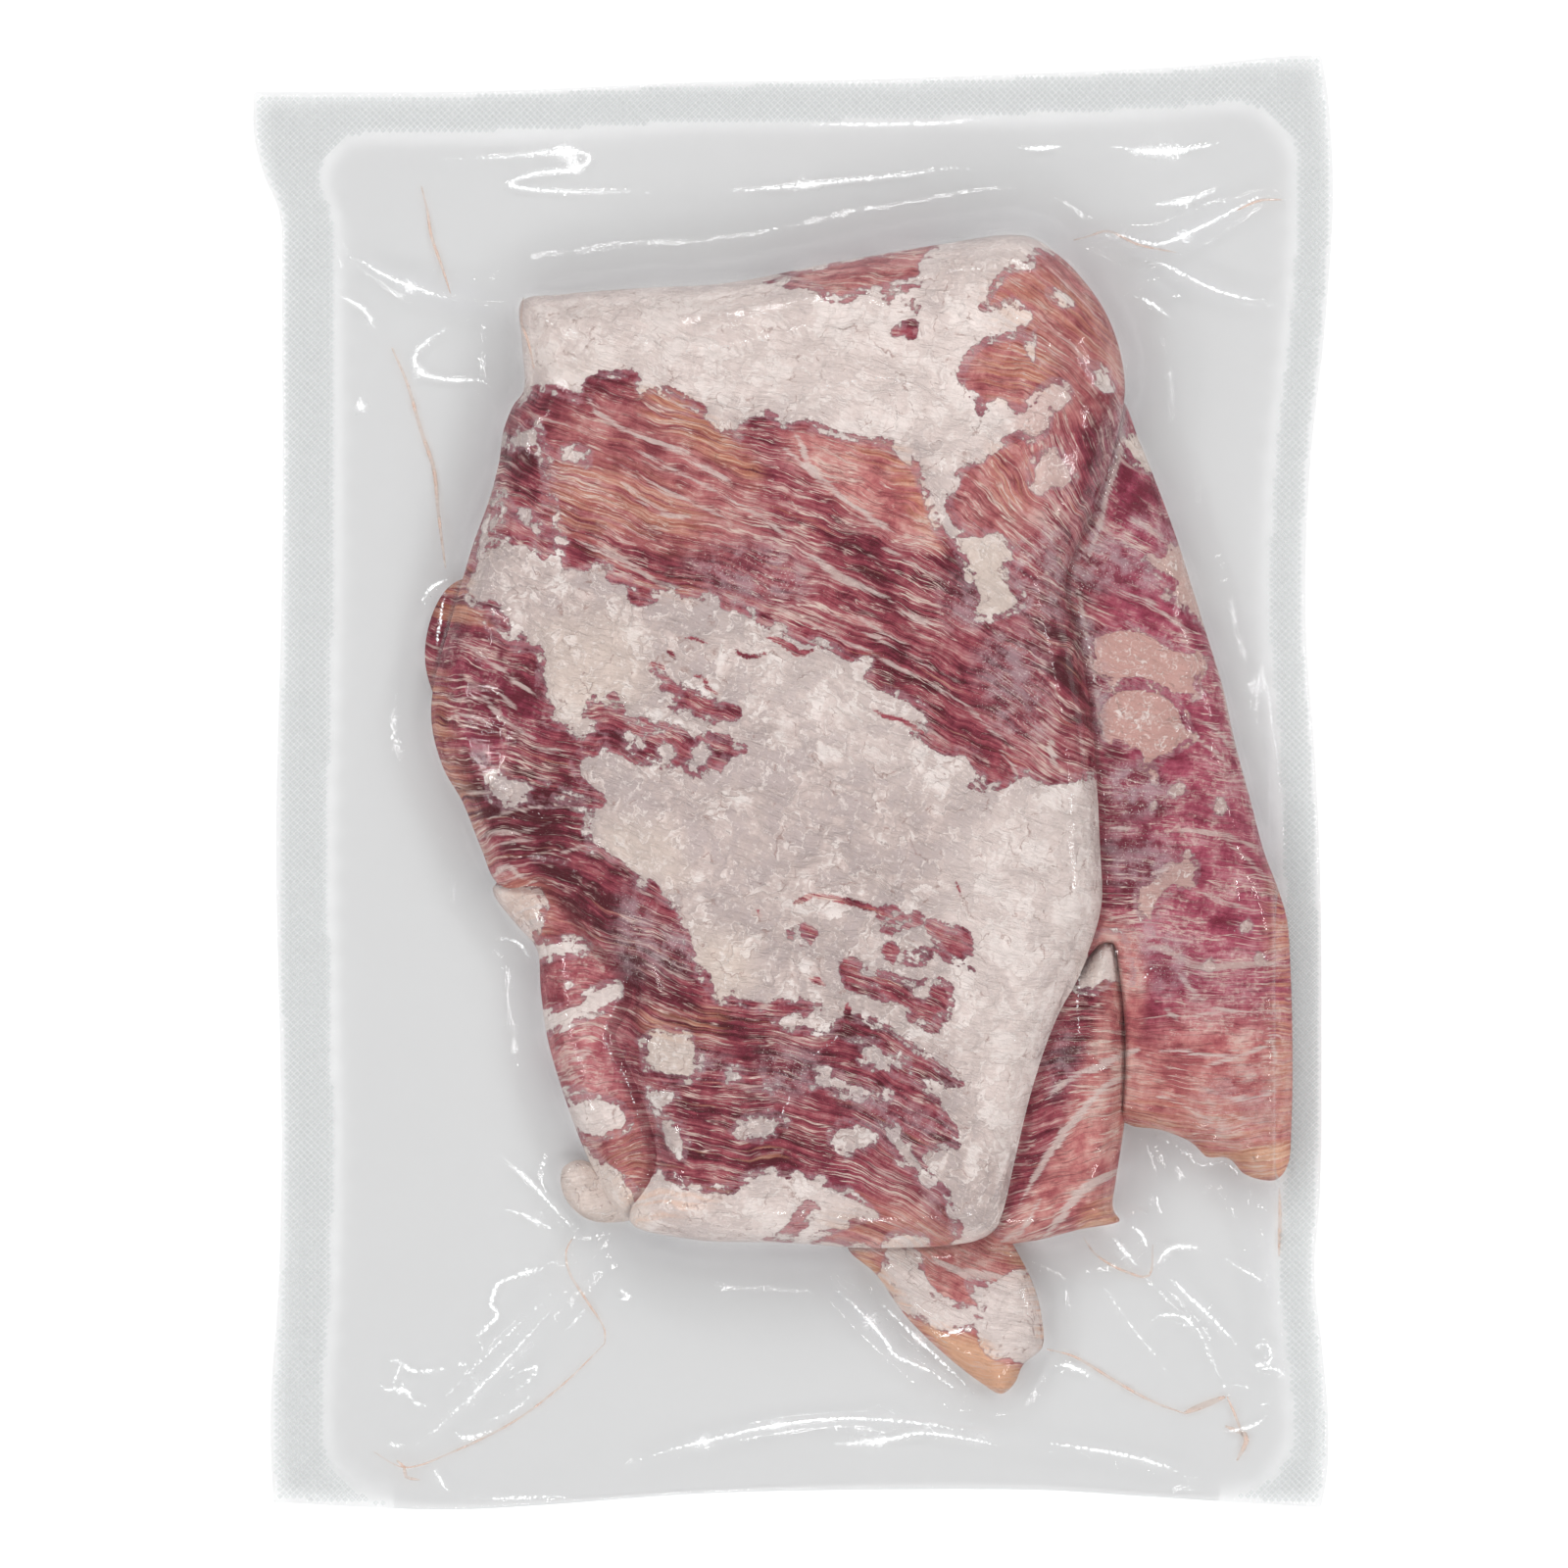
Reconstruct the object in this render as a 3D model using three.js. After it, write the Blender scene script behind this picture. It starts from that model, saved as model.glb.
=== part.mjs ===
// A clear vacuum pouch drawn tight over thin slabs of marbled pork, lying flat with its shown side up.
// The pouch and what it holds are one closed solid: a top skin that follows the slabs, a raised rim
// and a flat underside. Millimetres, +Z up, +X across the pouch and +Y along it.
// The origin is the middle of the pouch's outline, on the surface that it lies on.
import * as THREE from 'three';

// ---- driving dimensions -------------------------------------------------------------------------
const RIM_THICKNESS = 0.6;         // the two welded films, as a solid
const SEAL_BAND_LEFT = 10.6;       // width of the embossed weld along each side that has one
const SEAL_BAND_RIGHT = 7.2;
const SEAL_BAND_TOP = 8.2;
const SEAL_STEP = 0.4;             // how far the loose film stands above the weld
const SEAL_STEP_RUN = 1.0;         // how far across the step takes
const RIM_LIFT = 0.8;              // how far the rim's edge waves up from the surface
const CORNER_LIFT = 2.2;           // how much more the four corners curl
const RIM_LIFT_REACH = 14;         // width of the margin that lifts
const CELL = 4.5;                  // cell of the top skin's grid
const OUTLINE_STEP = 3;            // step of the slabs' smooth outlines
const SHOULDER_START = 0.5;        // share of a slab's height at which its side meets the film
const CROWN = 0.22;                // how much lower a slab is at its edge than in its middle
const CROWN_REACH = 16;            // how far in from the edge the crown takes
const UNEVENNESS = 0.7;            // height of the slabs' soft humps
const BRIDGE = 1.2;                // how softly the film bridges from one slab or fold to the next

// The pouch's cut edges, each a short row of stations [x, y] from corner to corner.
const LEFT_EDGE = [
  [-105.9, -146.7], [-106.5, -138], [-106.5, -124], [-105.2, -106], [-104.4, -76], [-104.8, -52],
  [-105.6, -12], [-104.3, 44], [-104.4, 100], [-104.8, 116], [-108, 124], [-110, 132], [-110.1, 140.8],
];
const RIGHT_EDGE = [
  [107.6, -147.8], [108.8, -141], [109.1, -130], [107.9, -116], [106.3, -100], [107.4, -84],
  [107.7, -60], [107.5, -20], [106.5, 4], [104.7, 28], [104.5, 44], [105.7, 68], [108, 88],
  [109.6, 108], [110.1, 122], [109.1, 139], [107.7, 148.3],
];
const BOTTOM_EDGE = [
  [-105.9, -146.7], [-90, -147.6], [-70, -148.3], [-50, -147.3], [-20, -145.1], [10, -144.3],
  [50, -144.3], [70, -145.5], [90, -146.8], [107.6, -147.8],
];
const TOP_EDGE = [
  [-110.1, 140.8], [-70, 140.9], [-50, 141.5], [-20, 142.9], [10, 143.3], [40, 144.3],
  [60, 145.1], [80, 146.1], [100, 148.1], [107.7, 148.3],
];

// The slabs under the film. Each has an outline, the height of its top at three places across the
// pouch (x = -70, 0 and +70), the radius of its rounded edge and the width of the film's slope
// down from it.
const SLABS = {
  upper: {
    outline: [
      [-56, 98], [-32, 101], [8, 106], [48, 111.5], [62, 103], [67, 82], [63.5, 62], [57, 44], [60, 22],
      [63.5, -26], [56, -46], [46, -78], [39, -93], [0, -95], [-33, -90], [-30, -77], [-38, -52],
      [-52, -33], [-64, -15], [-70, 0], [-74, 20], [-69, 44], [-61, 62], [-57, 80],
    ],
    heights: [15, 25, 23],
    edge: 8,
    slope: 12,
  },
  lower: {
    outline: [
      [64, 80], [75, 62], [82, 42], [89, 18], [94, -4], [98.5, -22], [102, -42], [102, -70],
      [99, -81.5], [88, -77], [66, -71], [46, -60], [38, -20], [40, 30], [50, 70],
    ],
    heights: [14, 14, 14],
    edge: 7,
    slope: 12,
  },
  leftFlap: {
    outline: [
      [-53, -32], [-51, -50], [-46, -68], [-41, -82], [-33, -90], [-18, -80], [-14, -50], [-34, -30],
    ],
    heights: [14, 18, 18],
    edge: 7,
    slope: 12,
  },
  rightFlap: {
    outline: [
      [58, -35], [66, -31], [69, -50], [69, -68], [66, -84], [60, -91], [47, -94], [38, -92],
      [36, -70], [46, -48],
    ],
    heights: [17, 17, 18],
    edge: 7,
    slope: 12,
  },
  tail: {
    outline: [
      [9, -94], [20, -106], [29, -116], [43, -125], [47, -120], [51, -112], [50, -102], [44, -94],
      [28, -86],
    ],
    heights: [10, 10, 9],
    edge: 6,
    slope: 9,
  },
};

// Webs of film that stand as folds between the slabs and the pouch's corners: from, to, the height
// at either end and the half width.
const FOLDS = [
  { from: [-36, -90], to: [-82, -140], heights: [7, 1.5], width: 5 },
  { from: [58, 110], to: [96, 119], heights: [6, 1.5], width: 5 },
  { from: [68, 100], to: [100, 97], heights: [4, 1], width: 5 },
  { from: [92, -80], to: [98, -118], heights: [5, 1.5], width: 5 },
  { from: [72, -96], to: [90, -118], heights: [3, 1], width: 5 },
  { from: [-60, 97], to: [-92, 108], heights: [5, 1], width: 5 },
  { from: [8, -100], to: [34, -126], heights: [3, 2], width: 4 },
  { from: [-30, -140], to: [18, -129], heights: [1, 1.6], width: 5 },
  { from: [18, -129], to: [80, -141], heights: [1.6, 1], width: 5 },
];

const FILM_MATERIAL = new THREE.MeshStandardMaterial({ color: 0xd9dddc, roughness: 0.15, metalness: 0 });

// ---- outlines -----------------------------------------------------------------------------------
// A smooth curve through the stations, whether open or closed.
function smoothCurve(stations, closed) {
  const points = stations.map(([x, y]) => new THREE.Vector3(x, y, 0));
  return new THREE.CatmullRomCurve3(points, closed, 'centripetal');
}

function closedOutline(stations) {
  const curve = smoothCurve(stations, true);
  return curve.getSpacedPoints(Math.round(curve.getLength() / OUTLINE_STEP)).slice(0, -1);
}

// Distance from a point to a closed outline, positive inside it.
function depthInside(outline, x, y) {
  let nearest = Infinity;
  let inside = false;
  for (let i = 0, j = outline.length - 1; i < outline.length; j = i, i += 1) {
    const a = outline[j];
    const b = outline[i];
    const along = ((x - a.x) * (b.x - a.x) + (y - a.y) * (b.y - a.y)) / a.distanceToSquared(b);
    const t = THREE.MathUtils.clamp(along, 0, 1);
    nearest = Math.min(nearest, Math.hypot(a.x + t * (b.x - a.x) - x, a.y + t * (b.y - a.y) - y));
    if ((a.y > y) !== (b.y > y) && x < a.x + ((y - a.y) * (b.x - a.x)) / (b.y - a.y)) inside = !inside;
  }
  return inside ? nearest : -nearest;
}

// ---- heights ------------------------------------------------------------------------------------
// A slab's height across the pouch, as a parabola through its three heights.
function slabTop(heights, x) {
  const [left, middle, right] = heights;
  const t = THREE.MathUtils.clamp(x / 70, -1, 1);
  return middle + (0.5 * (right - left)) * t + (0.5 * (right + left) - middle) * t * t;
}

// Low humps and hollows over the meat.
function humps(x, y) {
  return UNEVENNESS * (Math.sin(x / 9 + y / 23) + Math.sin(y / 11 - x / 31));
}

// The film over one slab: the slab's top, its rounded edge, and the slope down to the pouch's floor.
function filmOverSlab(slab, x, y) {
  const depth = depthInside(slab.points, x, y);
  if (depth < -slab.slope) return 0;
  const crown = 1 - CROWN * Math.exp(-Math.max(depth, 0) / CROWN_REACH);
  const top = slabTop(slab.heights, x) * crown + humps(x, y);
  if (depth < 0) return top * SHOULDER_START * (1 + depth / slab.slope) ** 2;
  const round = 1 - (1 - Math.min(depth / slab.edge, 1)) ** 2;
  return top * (SHOULDER_START + (1 - SHOULDER_START) * Math.sqrt(round));
}

function foldHeight(fold, x, y) {
  const [ax, ay] = fold.from;
  const [bx, by] = fold.to;
  const span = (bx - ax) ** 2 + (by - ay) ** 2;
  const t = THREE.MathUtils.clamp(((x - ax) * (bx - ax) + (y - ay) * (by - ay)) / span, 0, 1);
  const away = Math.hypot(ax + t * (bx - ax) - x, ay + t * (by - ay) - y);
  const height = THREE.MathUtils.lerp(fold.heights[0], fold.heights[1], t);
  return height * Math.max(0, 1 - away / fold.width) ** 1.5;
}

const slabs = Object.values(SLABS).map((slab) => ({ ...slab, points: closedOutline(slab.outline) }));

// Height of the top skin above the pouch's underside: the highest of what it passes over, with the
// valleys between them bridged.
function skinHeight(x, y) {
  const overSlabs = slabs.map((slab) => filmOverSlab(slab, x, y));
  const overFolds = FOLDS.map((fold) => foldHeight(fold, x, y));
  return [...overSlabs, ...overFolds].reduce((high, next) => {
    const blend = Math.max(0, 1 - Math.abs(high - next) / (2 * BRIDGE));
    const bridge = Math.min(1, Math.min(high, next) / BRIDGE) * 0.5 * BRIDGE * blend ** 2;
    return Math.max(high, next) + bridge;
  }, 0);
}

// ---- the pouch's surface ------------------------------------------------------------------------
// A point of the pouch's plan: u runs from its left edge to its right, v from its bottom to its top.
const left = smoothCurve(LEFT_EDGE, false);
const right = smoothCurve(RIGHT_EDGE, false);
const bottom = smoothCurve(BOTTOM_EDGE, false);
const top = smoothCurve(TOP_EDGE, false);

function planPoint(u, v) {
  const across = left.getPointAt(v).multiplyScalar(1 - u).addScaledVector(right.getPointAt(v), u);
  const along = bottom.getPointAt(u).multiplyScalar(1 - v).addScaledVector(top.getPointAt(u), v);
  const corners = left.getPointAt(0).multiplyScalar((1 - u) * (1 - v))
    .addScaledVector(right.getPointAt(0), u * (1 - v))
    .addScaledVector(left.getPointAt(1), (1 - u) * v)
    .addScaledVector(right.getPointAt(1), u * v);
  return across.add(along).sub(corners);
}

const width = right.getPointAt(0.5).x - left.getPointAt(0.5).x;
const length = top.getPointAt(0.5).y - bottom.getPointAt(0.5).y;
const flatShareAcross = 1 - (2 * RIM_LIFT_REACH) / width;
const flatShareAlong = 1 - (2 * RIM_LIFT_REACH) / length;

// How far the pouch's underside is lifted: nothing over its flat middle, most at its cut edge.
function lift(u, v, x, y) {
  const across = (Math.abs(2 * u - 1) - flatShareAcross) / (1 - flatShareAcross);
  const along = (Math.abs(2 * v - 1) - flatShareAlong) / (1 - flatShareAlong);
  const nearEdge = Math.max(0, across, along);
  const corner = Math.abs((2 * u - 1) * (2 * v - 1)) ** 6;
  const wave = RIM_LIFT * (1 + 0.5 * Math.sin(x / 17) + 0.5 * Math.sin(y / 23));
  return nearEdge * (wave + CORNER_LIFT * corner);
}

// Grid lines: two at each weld's inner border, and even cells between.
function gridLines(total, startBand, endBand) {
  const lines = [0];
  const split = (from, to) => {
    const cells = Math.max(1, Math.round((to - from) / CELL));
    for (let i = 1; i <= cells; i += 1) lines.push(from + ((to - from) * i) / cells);
  };
  const start = startBand ? startBand + SEAL_STEP_RUN : 0;
  const end = total - endBand - SEAL_STEP_RUN;
  if (startBand) {
    split(0, startBand);
    split(startBand, start);
  }
  split(start, end);
  split(end, total - endBand);
  split(total - endBand, total);
  return lines.map((line) => line / total);
}

// The loose film stands one step above the weld round it.
function sealStep(u, v) {
  const fromLeft = (u * width - SEAL_BAND_LEFT) / SEAL_STEP_RUN;
  const fromRight = ((1 - u) * width - SEAL_BAND_RIGHT) / SEAL_STEP_RUN;
  const fromTop = ((1 - v) * length - SEAL_BAND_TOP) / SEAL_STEP_RUN;
  return SEAL_STEP * THREE.MathUtils.clamp(Math.min(fromLeft, fromRight, fromTop), 0, 1);
}

// One closed mesh: the top skin, the cut edge, the lifting margin below it and the flat base.
function pouchGeometry() {
  const columns = gridLines(width, SEAL_BAND_LEFT, SEAL_BAND_RIGHT);
  const rows = gridLines(length, 0, SEAL_BAND_TOP);
  const positions = [];
  const faces = [];
  const addPoint = (x, y, z) => positions.push(x, y, z) / 3 - 1;

  const skin = rows.map((v) => columns.map((u) => {
    const { x, y } = planPoint(u, v);
    return addPoint(x, y, lift(u, v, x, y) + RIM_THICKNESS + sealStep(u, v) + skinHeight(x, y));
  }));
  for (let r = 1; r < rows.length; r += 1) {
    for (let c = 1; c < columns.length; c += 1) {
      const corners = [skin[r - 1][c - 1], skin[r - 1][c], skin[r][c], skin[r][c - 1]];
      faces.push(corners[0], corners[1], corners[2], corners[0], corners[2], corners[3]);
    }
  }

  // The rim's places, once round anticlockwise seen from above.
  const lastRow = rows.length - 1;
  const lastColumn = columns.length - 1;
  const rim = [];
  for (let c = 0; c < lastColumn; c += 1) rim.push([0, c]);
  for (let r = 0; r < lastRow; r += 1) rim.push([r, lastColumn]);
  for (let c = lastColumn; c > 0; c -= 1) rim.push([lastRow, c]);
  for (let r = lastRow; r > 0; r -= 1) rim.push([r, 0]);

  const topRing = rim.map(([r, c]) => skin[r][c]);
  const edgeRing = rim.map(([r, c]) => {
    const { x, y } = planPoint(columns[c], rows[r]);
    return addPoint(x, y, lift(columns[c], rows[r], x, y));
  });
  const baseRing = rim.map(([r, c]) => {
    const u = 0.5 + (columns[c] - 0.5) * flatShareAcross;
    const v = 0.5 + (rows[r] - 0.5) * flatShareAlong;
    const { x, y } = planPoint(u, v);
    return addPoint(x, y, 0);
  });
  const centre = addPoint(0, 0, 0);
  const join = (upper, lower) => upper.forEach((_, i) => {
    const next = (i + 1) % upper.length;
    faces.push(upper[i], lower[i], lower[next], upper[i], lower[next], upper[next]);
  });
  join(topRing, edgeRing);
  join(edgeRing, baseRing);
  baseRing.forEach((point, i) => faces.push(point, centre, baseRing[(i + 1) % baseRing.length]));

  const geometry = new THREE.BufferGeometry();
  geometry.setAttribute('position', new THREE.Float32BufferAttribute(positions, 3));
  geometry.setIndex(faces);
  geometry.computeBoundingBox();
  const middle = geometry.boundingBox.getCenter(new THREE.Vector3());
  geometry.translate(-middle.x, -middle.y, 0);
  geometry.computeVertexNormals();
  return geometry;
}

const pack = new THREE.Group();
const pouch = new THREE.Mesh(pouchGeometry(), FILM_MATERIAL);
pouch.name = 'vacuum_pouch';
pack.add(pouch);

export default pack;
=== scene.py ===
import math

import bmesh
import bpy
import numpy as np
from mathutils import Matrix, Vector, geometry


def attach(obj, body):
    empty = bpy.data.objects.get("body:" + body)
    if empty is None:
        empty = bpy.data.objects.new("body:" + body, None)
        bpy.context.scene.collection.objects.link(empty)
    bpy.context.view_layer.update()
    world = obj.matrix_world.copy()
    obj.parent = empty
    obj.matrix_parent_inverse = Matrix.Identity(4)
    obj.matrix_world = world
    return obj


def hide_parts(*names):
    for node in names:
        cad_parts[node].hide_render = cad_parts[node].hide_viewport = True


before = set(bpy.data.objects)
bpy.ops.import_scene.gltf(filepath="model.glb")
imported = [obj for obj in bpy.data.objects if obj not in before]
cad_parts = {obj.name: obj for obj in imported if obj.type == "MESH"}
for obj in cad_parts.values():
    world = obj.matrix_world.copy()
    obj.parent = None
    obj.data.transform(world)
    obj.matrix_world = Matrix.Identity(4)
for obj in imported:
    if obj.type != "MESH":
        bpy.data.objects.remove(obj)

bl_info = {
    "name": "Vacuum pack of pork secreto",
    "version": (1, 0, 0),
    "blender": (4, 5, 0),
    "location": "3D View > Sidebar > Pork pack",
    "description": "Slabs of marbled raw pork in a clear vacuum pouch with an embossed weld",
    "category": "Add Mesh",
}

# All lengths here are in millimetres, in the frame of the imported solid, and become metres when a
# mesh is made. Outlines and lines that follow the photograph are in its pixels, and at_pixels()
# turns them to millimetres.
MM = 0.001
NODE = "vacuum_pouch"
PIXELS_PER_MM = 5.0
PIXEL_MIDDLE = (809.5, 798.5)      # the pixel over the frame's origin

# ---- the pouch's cut edges and the slabs' forms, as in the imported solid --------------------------
RIM_THICKNESS = 0.3
RIM_LIFT = 0.8
CORNER_LIFT = 2.2
RIM_LIFT_REACH = 14
SHOULDER_START = 0.5
CROWN = 0.22
CROWN_REACH = 16
UNEVENNESS = 0.7
HEIGHTS_AT = 70          # a slab's outer heights are given this far left and right of the middle
BRIDGE = 1.2
SEAL_BAND_LEFT = 10.6
SEAL_BAND_RIGHT = 7.2
SEAL_BAND_TOP = 8.2
SEAL_CORNER = 14         # the loose film's corners are rounded, so the weld fills them

LEFT_EDGE = [
    (-105.9, -146.7), (-106.5, -138), (-106.5, -124), (-105.2, -106), (-104.4, -76), (-104.8, -52),
    (-105.6, -12), (-104.3, 44), (-104.4, 100), (-104.8, 116), (-108, 124), (-110, 132), (-110.1, 140.8),
]
RIGHT_EDGE = [
    (107.6, -147.8), (108.8, -141), (109.1, -130), (107.9, -116), (106.3, -100), (107.4, -84),
    (107.7, -60), (107.5, -20), (106.5, 4), (104.7, 28), (104.5, 44), (105.7, 68), (108, 88),
    (109.6, 108), (110.1, 122), (109.1, 139), (107.7, 148.3),
]
BOTTOM_EDGE = [
    (-105.9, -146.7), (-90, -147.6), (-70, -148.3), (-50, -147.3), (-20, -145.1), (10, -144.3),
    (50, -144.3), (70, -145.5), (90, -146.8), (107.6, -147.8),
]
TOP_EDGE = [
    (-110.1, 140.8), (-70, 140.9), (-50, 141.5), (-20, 142.9), (10, 143.3), (40, 144.3),
    (60, 145.1), (80, 146.1), (100, 148.1), (107.7, 148.3),
]

# Each slab: its outline in photo pixels, the height of its top at x = -70, 0 and +70, the radius
# of its rounded edge, and the width of the film's slope down from it.
SLABS = {
    "upper": dict(
        outline=[
            (530, 306), (575, 298), (650, 292), (740, 287), (850, 266), (950, 249), (1048, 239),
            (1085, 262), (1108, 286), (1130, 318), (1145, 358), (1150, 398), (1140, 455), (1120, 520),
            (1098, 568), (1090, 600), (1102, 650), (1115, 720), (1121, 780), (1126, 870), (1127, 925),
            (1108, 985), (1084, 1035), (1058, 1115), (1040, 1190), (1026, 1240), (1005, 1264),
            (905, 1275), (800, 1270), (700, 1266), (640, 1246), (662, 1185), (652, 1140), (632, 1090),
            (618, 1055), (636, 1010), (600, 965), (560, 915), (508, 905), (488, 865), (470, 820),
            (450, 785), (438, 740), (440, 700), (456, 640), (470, 590), (482, 550), (496, 512),
            (507, 470), (511, 440), (522, 412), (532, 398), (530, 350),
        ],
        heights=(15, 25, 23), edge=8, slope=12,
    ),
    "right": dict(
        outline=[
            (1142, 404), (1165, 450), (1182, 492), (1200, 540), (1216, 590), (1234, 648), (1250, 700),
            (1262, 755), (1278, 815), (1292, 868), (1306, 905), (1316, 940), (1319, 985), (1321, 1050),
            (1320, 1150), (1316, 1190), (1303, 1206), (1285, 1206), (1266, 1199), (1252, 1184),
            (1230, 1183), (1214, 1168), (1182, 1155), (1150, 1150), (1060, 1080), (1000, 960),
            (1005, 700), (1050, 520),
        ],
        heights=(14, 14, 14), edge=7, slope=12,
    ),
    "left_flap": dict(
        outline=[
            (500, 905), (525, 945), (545, 968), (549, 1010), (556, 1060), (572, 1115), (590, 1165),
            (606, 1200), (622, 1232), (648, 1246), (720, 1200), (735, 1050), (690, 930), (560, 880),
        ],
        heights=(14, 17, 17), edge=7, slope=11,
    ),
    "right_flap": dict(
        outline=[
            (1100, 975), (1120, 955), (1140, 956), (1150, 1000), (1155, 1060), (1154, 1110),
            (1148, 1160), (1141, 1205), (1138, 1232), (1146, 1246), (1100, 1257), (1050, 1269),
            (1008, 1268), (985, 1180), (1030, 1060),
        ],
        heights=(17, 17, 18), edge=7, slope=12,
    ),
    "tail": dict(
        outline=[
            (862, 1272), (892, 1302), (920, 1342), (960, 1382), (998, 1412), (1022, 1425), (1038, 1412),
            (1046, 1394), (1066, 1376), (1066, 1345), (1058, 1312), (1046, 1286), (1020, 1250),
            (930, 1235),
        ],
        heights=(10, 10, 9), edge=6, slope=9,
    ),
    "edge_strip": dict(
        outline=[
            (474, 588), (455, 598), (440, 622), (431, 660), (434, 692), (448, 720), (480, 700),
            (500, 640), (490, 600),
        ],
        heights=(6, 6, 6), edge=3, slope=6,
    ),
    "fat_nub": dict(
        outline=[
            (572, 1190), (590, 1180), (612, 1188), (640, 1215), (650, 1244), (625, 1250), (600, 1247),
            (580, 1232), (570, 1212),
        ],
        heights=(7, 7, 7), edge=4, slope=6,
    ),
}


# ---- curves and distances ------------------------------------------------------------------------
def at_pixels(points):
    """Photo pixels as millimetres in the frame."""
    points = np.asarray(points, float)
    return (points - PIXEL_MIDDLE) / (PIXELS_PER_MM, -PIXELS_PER_MM)


def smooth_line(stations, closed=False, steps=5):
    """A centripetal Catmull-Rom curve through the stations, as short straight steps."""
    p = np.asarray(stations, float)
    if closed:
        ends = np.vstack([p[-1], p, p[0], p[1]])
    else:
        ends = np.vstack([2 * p[0] - p[1], p, 2 * p[-1] - p[-2]])
    t = np.linspace(0, 1, steps, endpoint=False)[:, None]
    runs = []
    for p0, p1, p2, p3 in zip(ends, ends[1:], ends[2:], ends[3:]):
        d1, d2, d3 = (max(math.sqrt(np.linalg.norm(b - a)), 1e-6) for a, b in ((p0, p1), (p1, p2), (p2, p3)))
        m1 = d2 * ((p1 - p0) / d1 - (p2 - p0) / (d1 + d2) + (p2 - p1) / d2)
        m2 = d2 * ((p2 - p1) / d2 - (p3 - p1) / (d2 + d3) + (p3 - p2) / d3)
        runs.append(
            (2 * t**3 - 3 * t**2 + 1) * p1 + (t**3 - 2 * t**2 + t) * m1
            + (3 * t**2 - 2 * t**3) * p2 + (t**3 - t**2) * m2
        )
    if not closed:
        runs.append(p[-1:])
    return np.vstack(runs)


def even_points(line, count, closed=False):
    """Points at even distances along a line."""
    if closed:
        line = np.vstack([line, line[:1]])
    along = np.concatenate([[0], np.cumsum(np.linalg.norm(np.diff(line, axis=0), axis=1))])
    places = np.linspace(0, along[-1], count + 1)[:count] if closed else np.linspace(0, along[-1], count)
    return np.stack([np.interp(places, along, line[:, i]) for i in (0, 1)], axis=1)


def depth_inside(outline, x, y):
    """Distance from points to a closed outline, positive inside it."""
    nearest = np.full(x.shape, np.inf)
    inside = np.zeros(x.shape, bool)
    for (ax, ay), (bx, by) in zip(np.roll(outline, 1, axis=0), outline):
        dx, dy = bx - ax, by - ay
        t = np.clip(((x - ax) * dx + (y - ay) * dy) / (dx * dx + dy * dy + 1e-12), 0, 1)
        nearest = np.minimum(nearest, (ax + t * dx - x) ** 2 + (ay + t * dy - y) ** 2)
        if ay != by:
            inside ^= ((ay > y) != (by > y)) & (x < ax + (y - ay) * dx / dy)
    return np.where(inside, 1, -1) * np.sqrt(nearest)


def near_line(line, x, y):
    """Distance from points to a line, and how far along it the nearest place is, from 0 to 1."""
    nearest = np.full(x.shape, np.inf)
    where = np.zeros(x.shape)
    lengths = np.linalg.norm(np.diff(line, axis=0), axis=1)
    start = np.concatenate([[0], np.cumsum(lengths)])
    for i, ((ax, ay), (bx, by)) in enumerate(zip(line, line[1:])):
        dx, dy = bx - ax, by - ay
        t = np.clip(((x - ax) * dx + (y - ay) * dy) / (dx * dx + dy * dy + 1e-12), 0, 1)
        away = (ax + t * dx - x) ** 2 + (ay + t * dy - y) ** 2
        closer = away < nearest
        nearest = np.where(closer, away, nearest)
        where = np.where(closer, start[i] + t * lengths[i], where)
    return np.sqrt(nearest), where / start[-1]


def smoothstep(low, high, value):
    """A soft rise from 0 to 1 between two values."""
    t = np.clip((value - low) / (high - low), 0, 1)
    return t * t * (3 - 2 * t)


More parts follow.
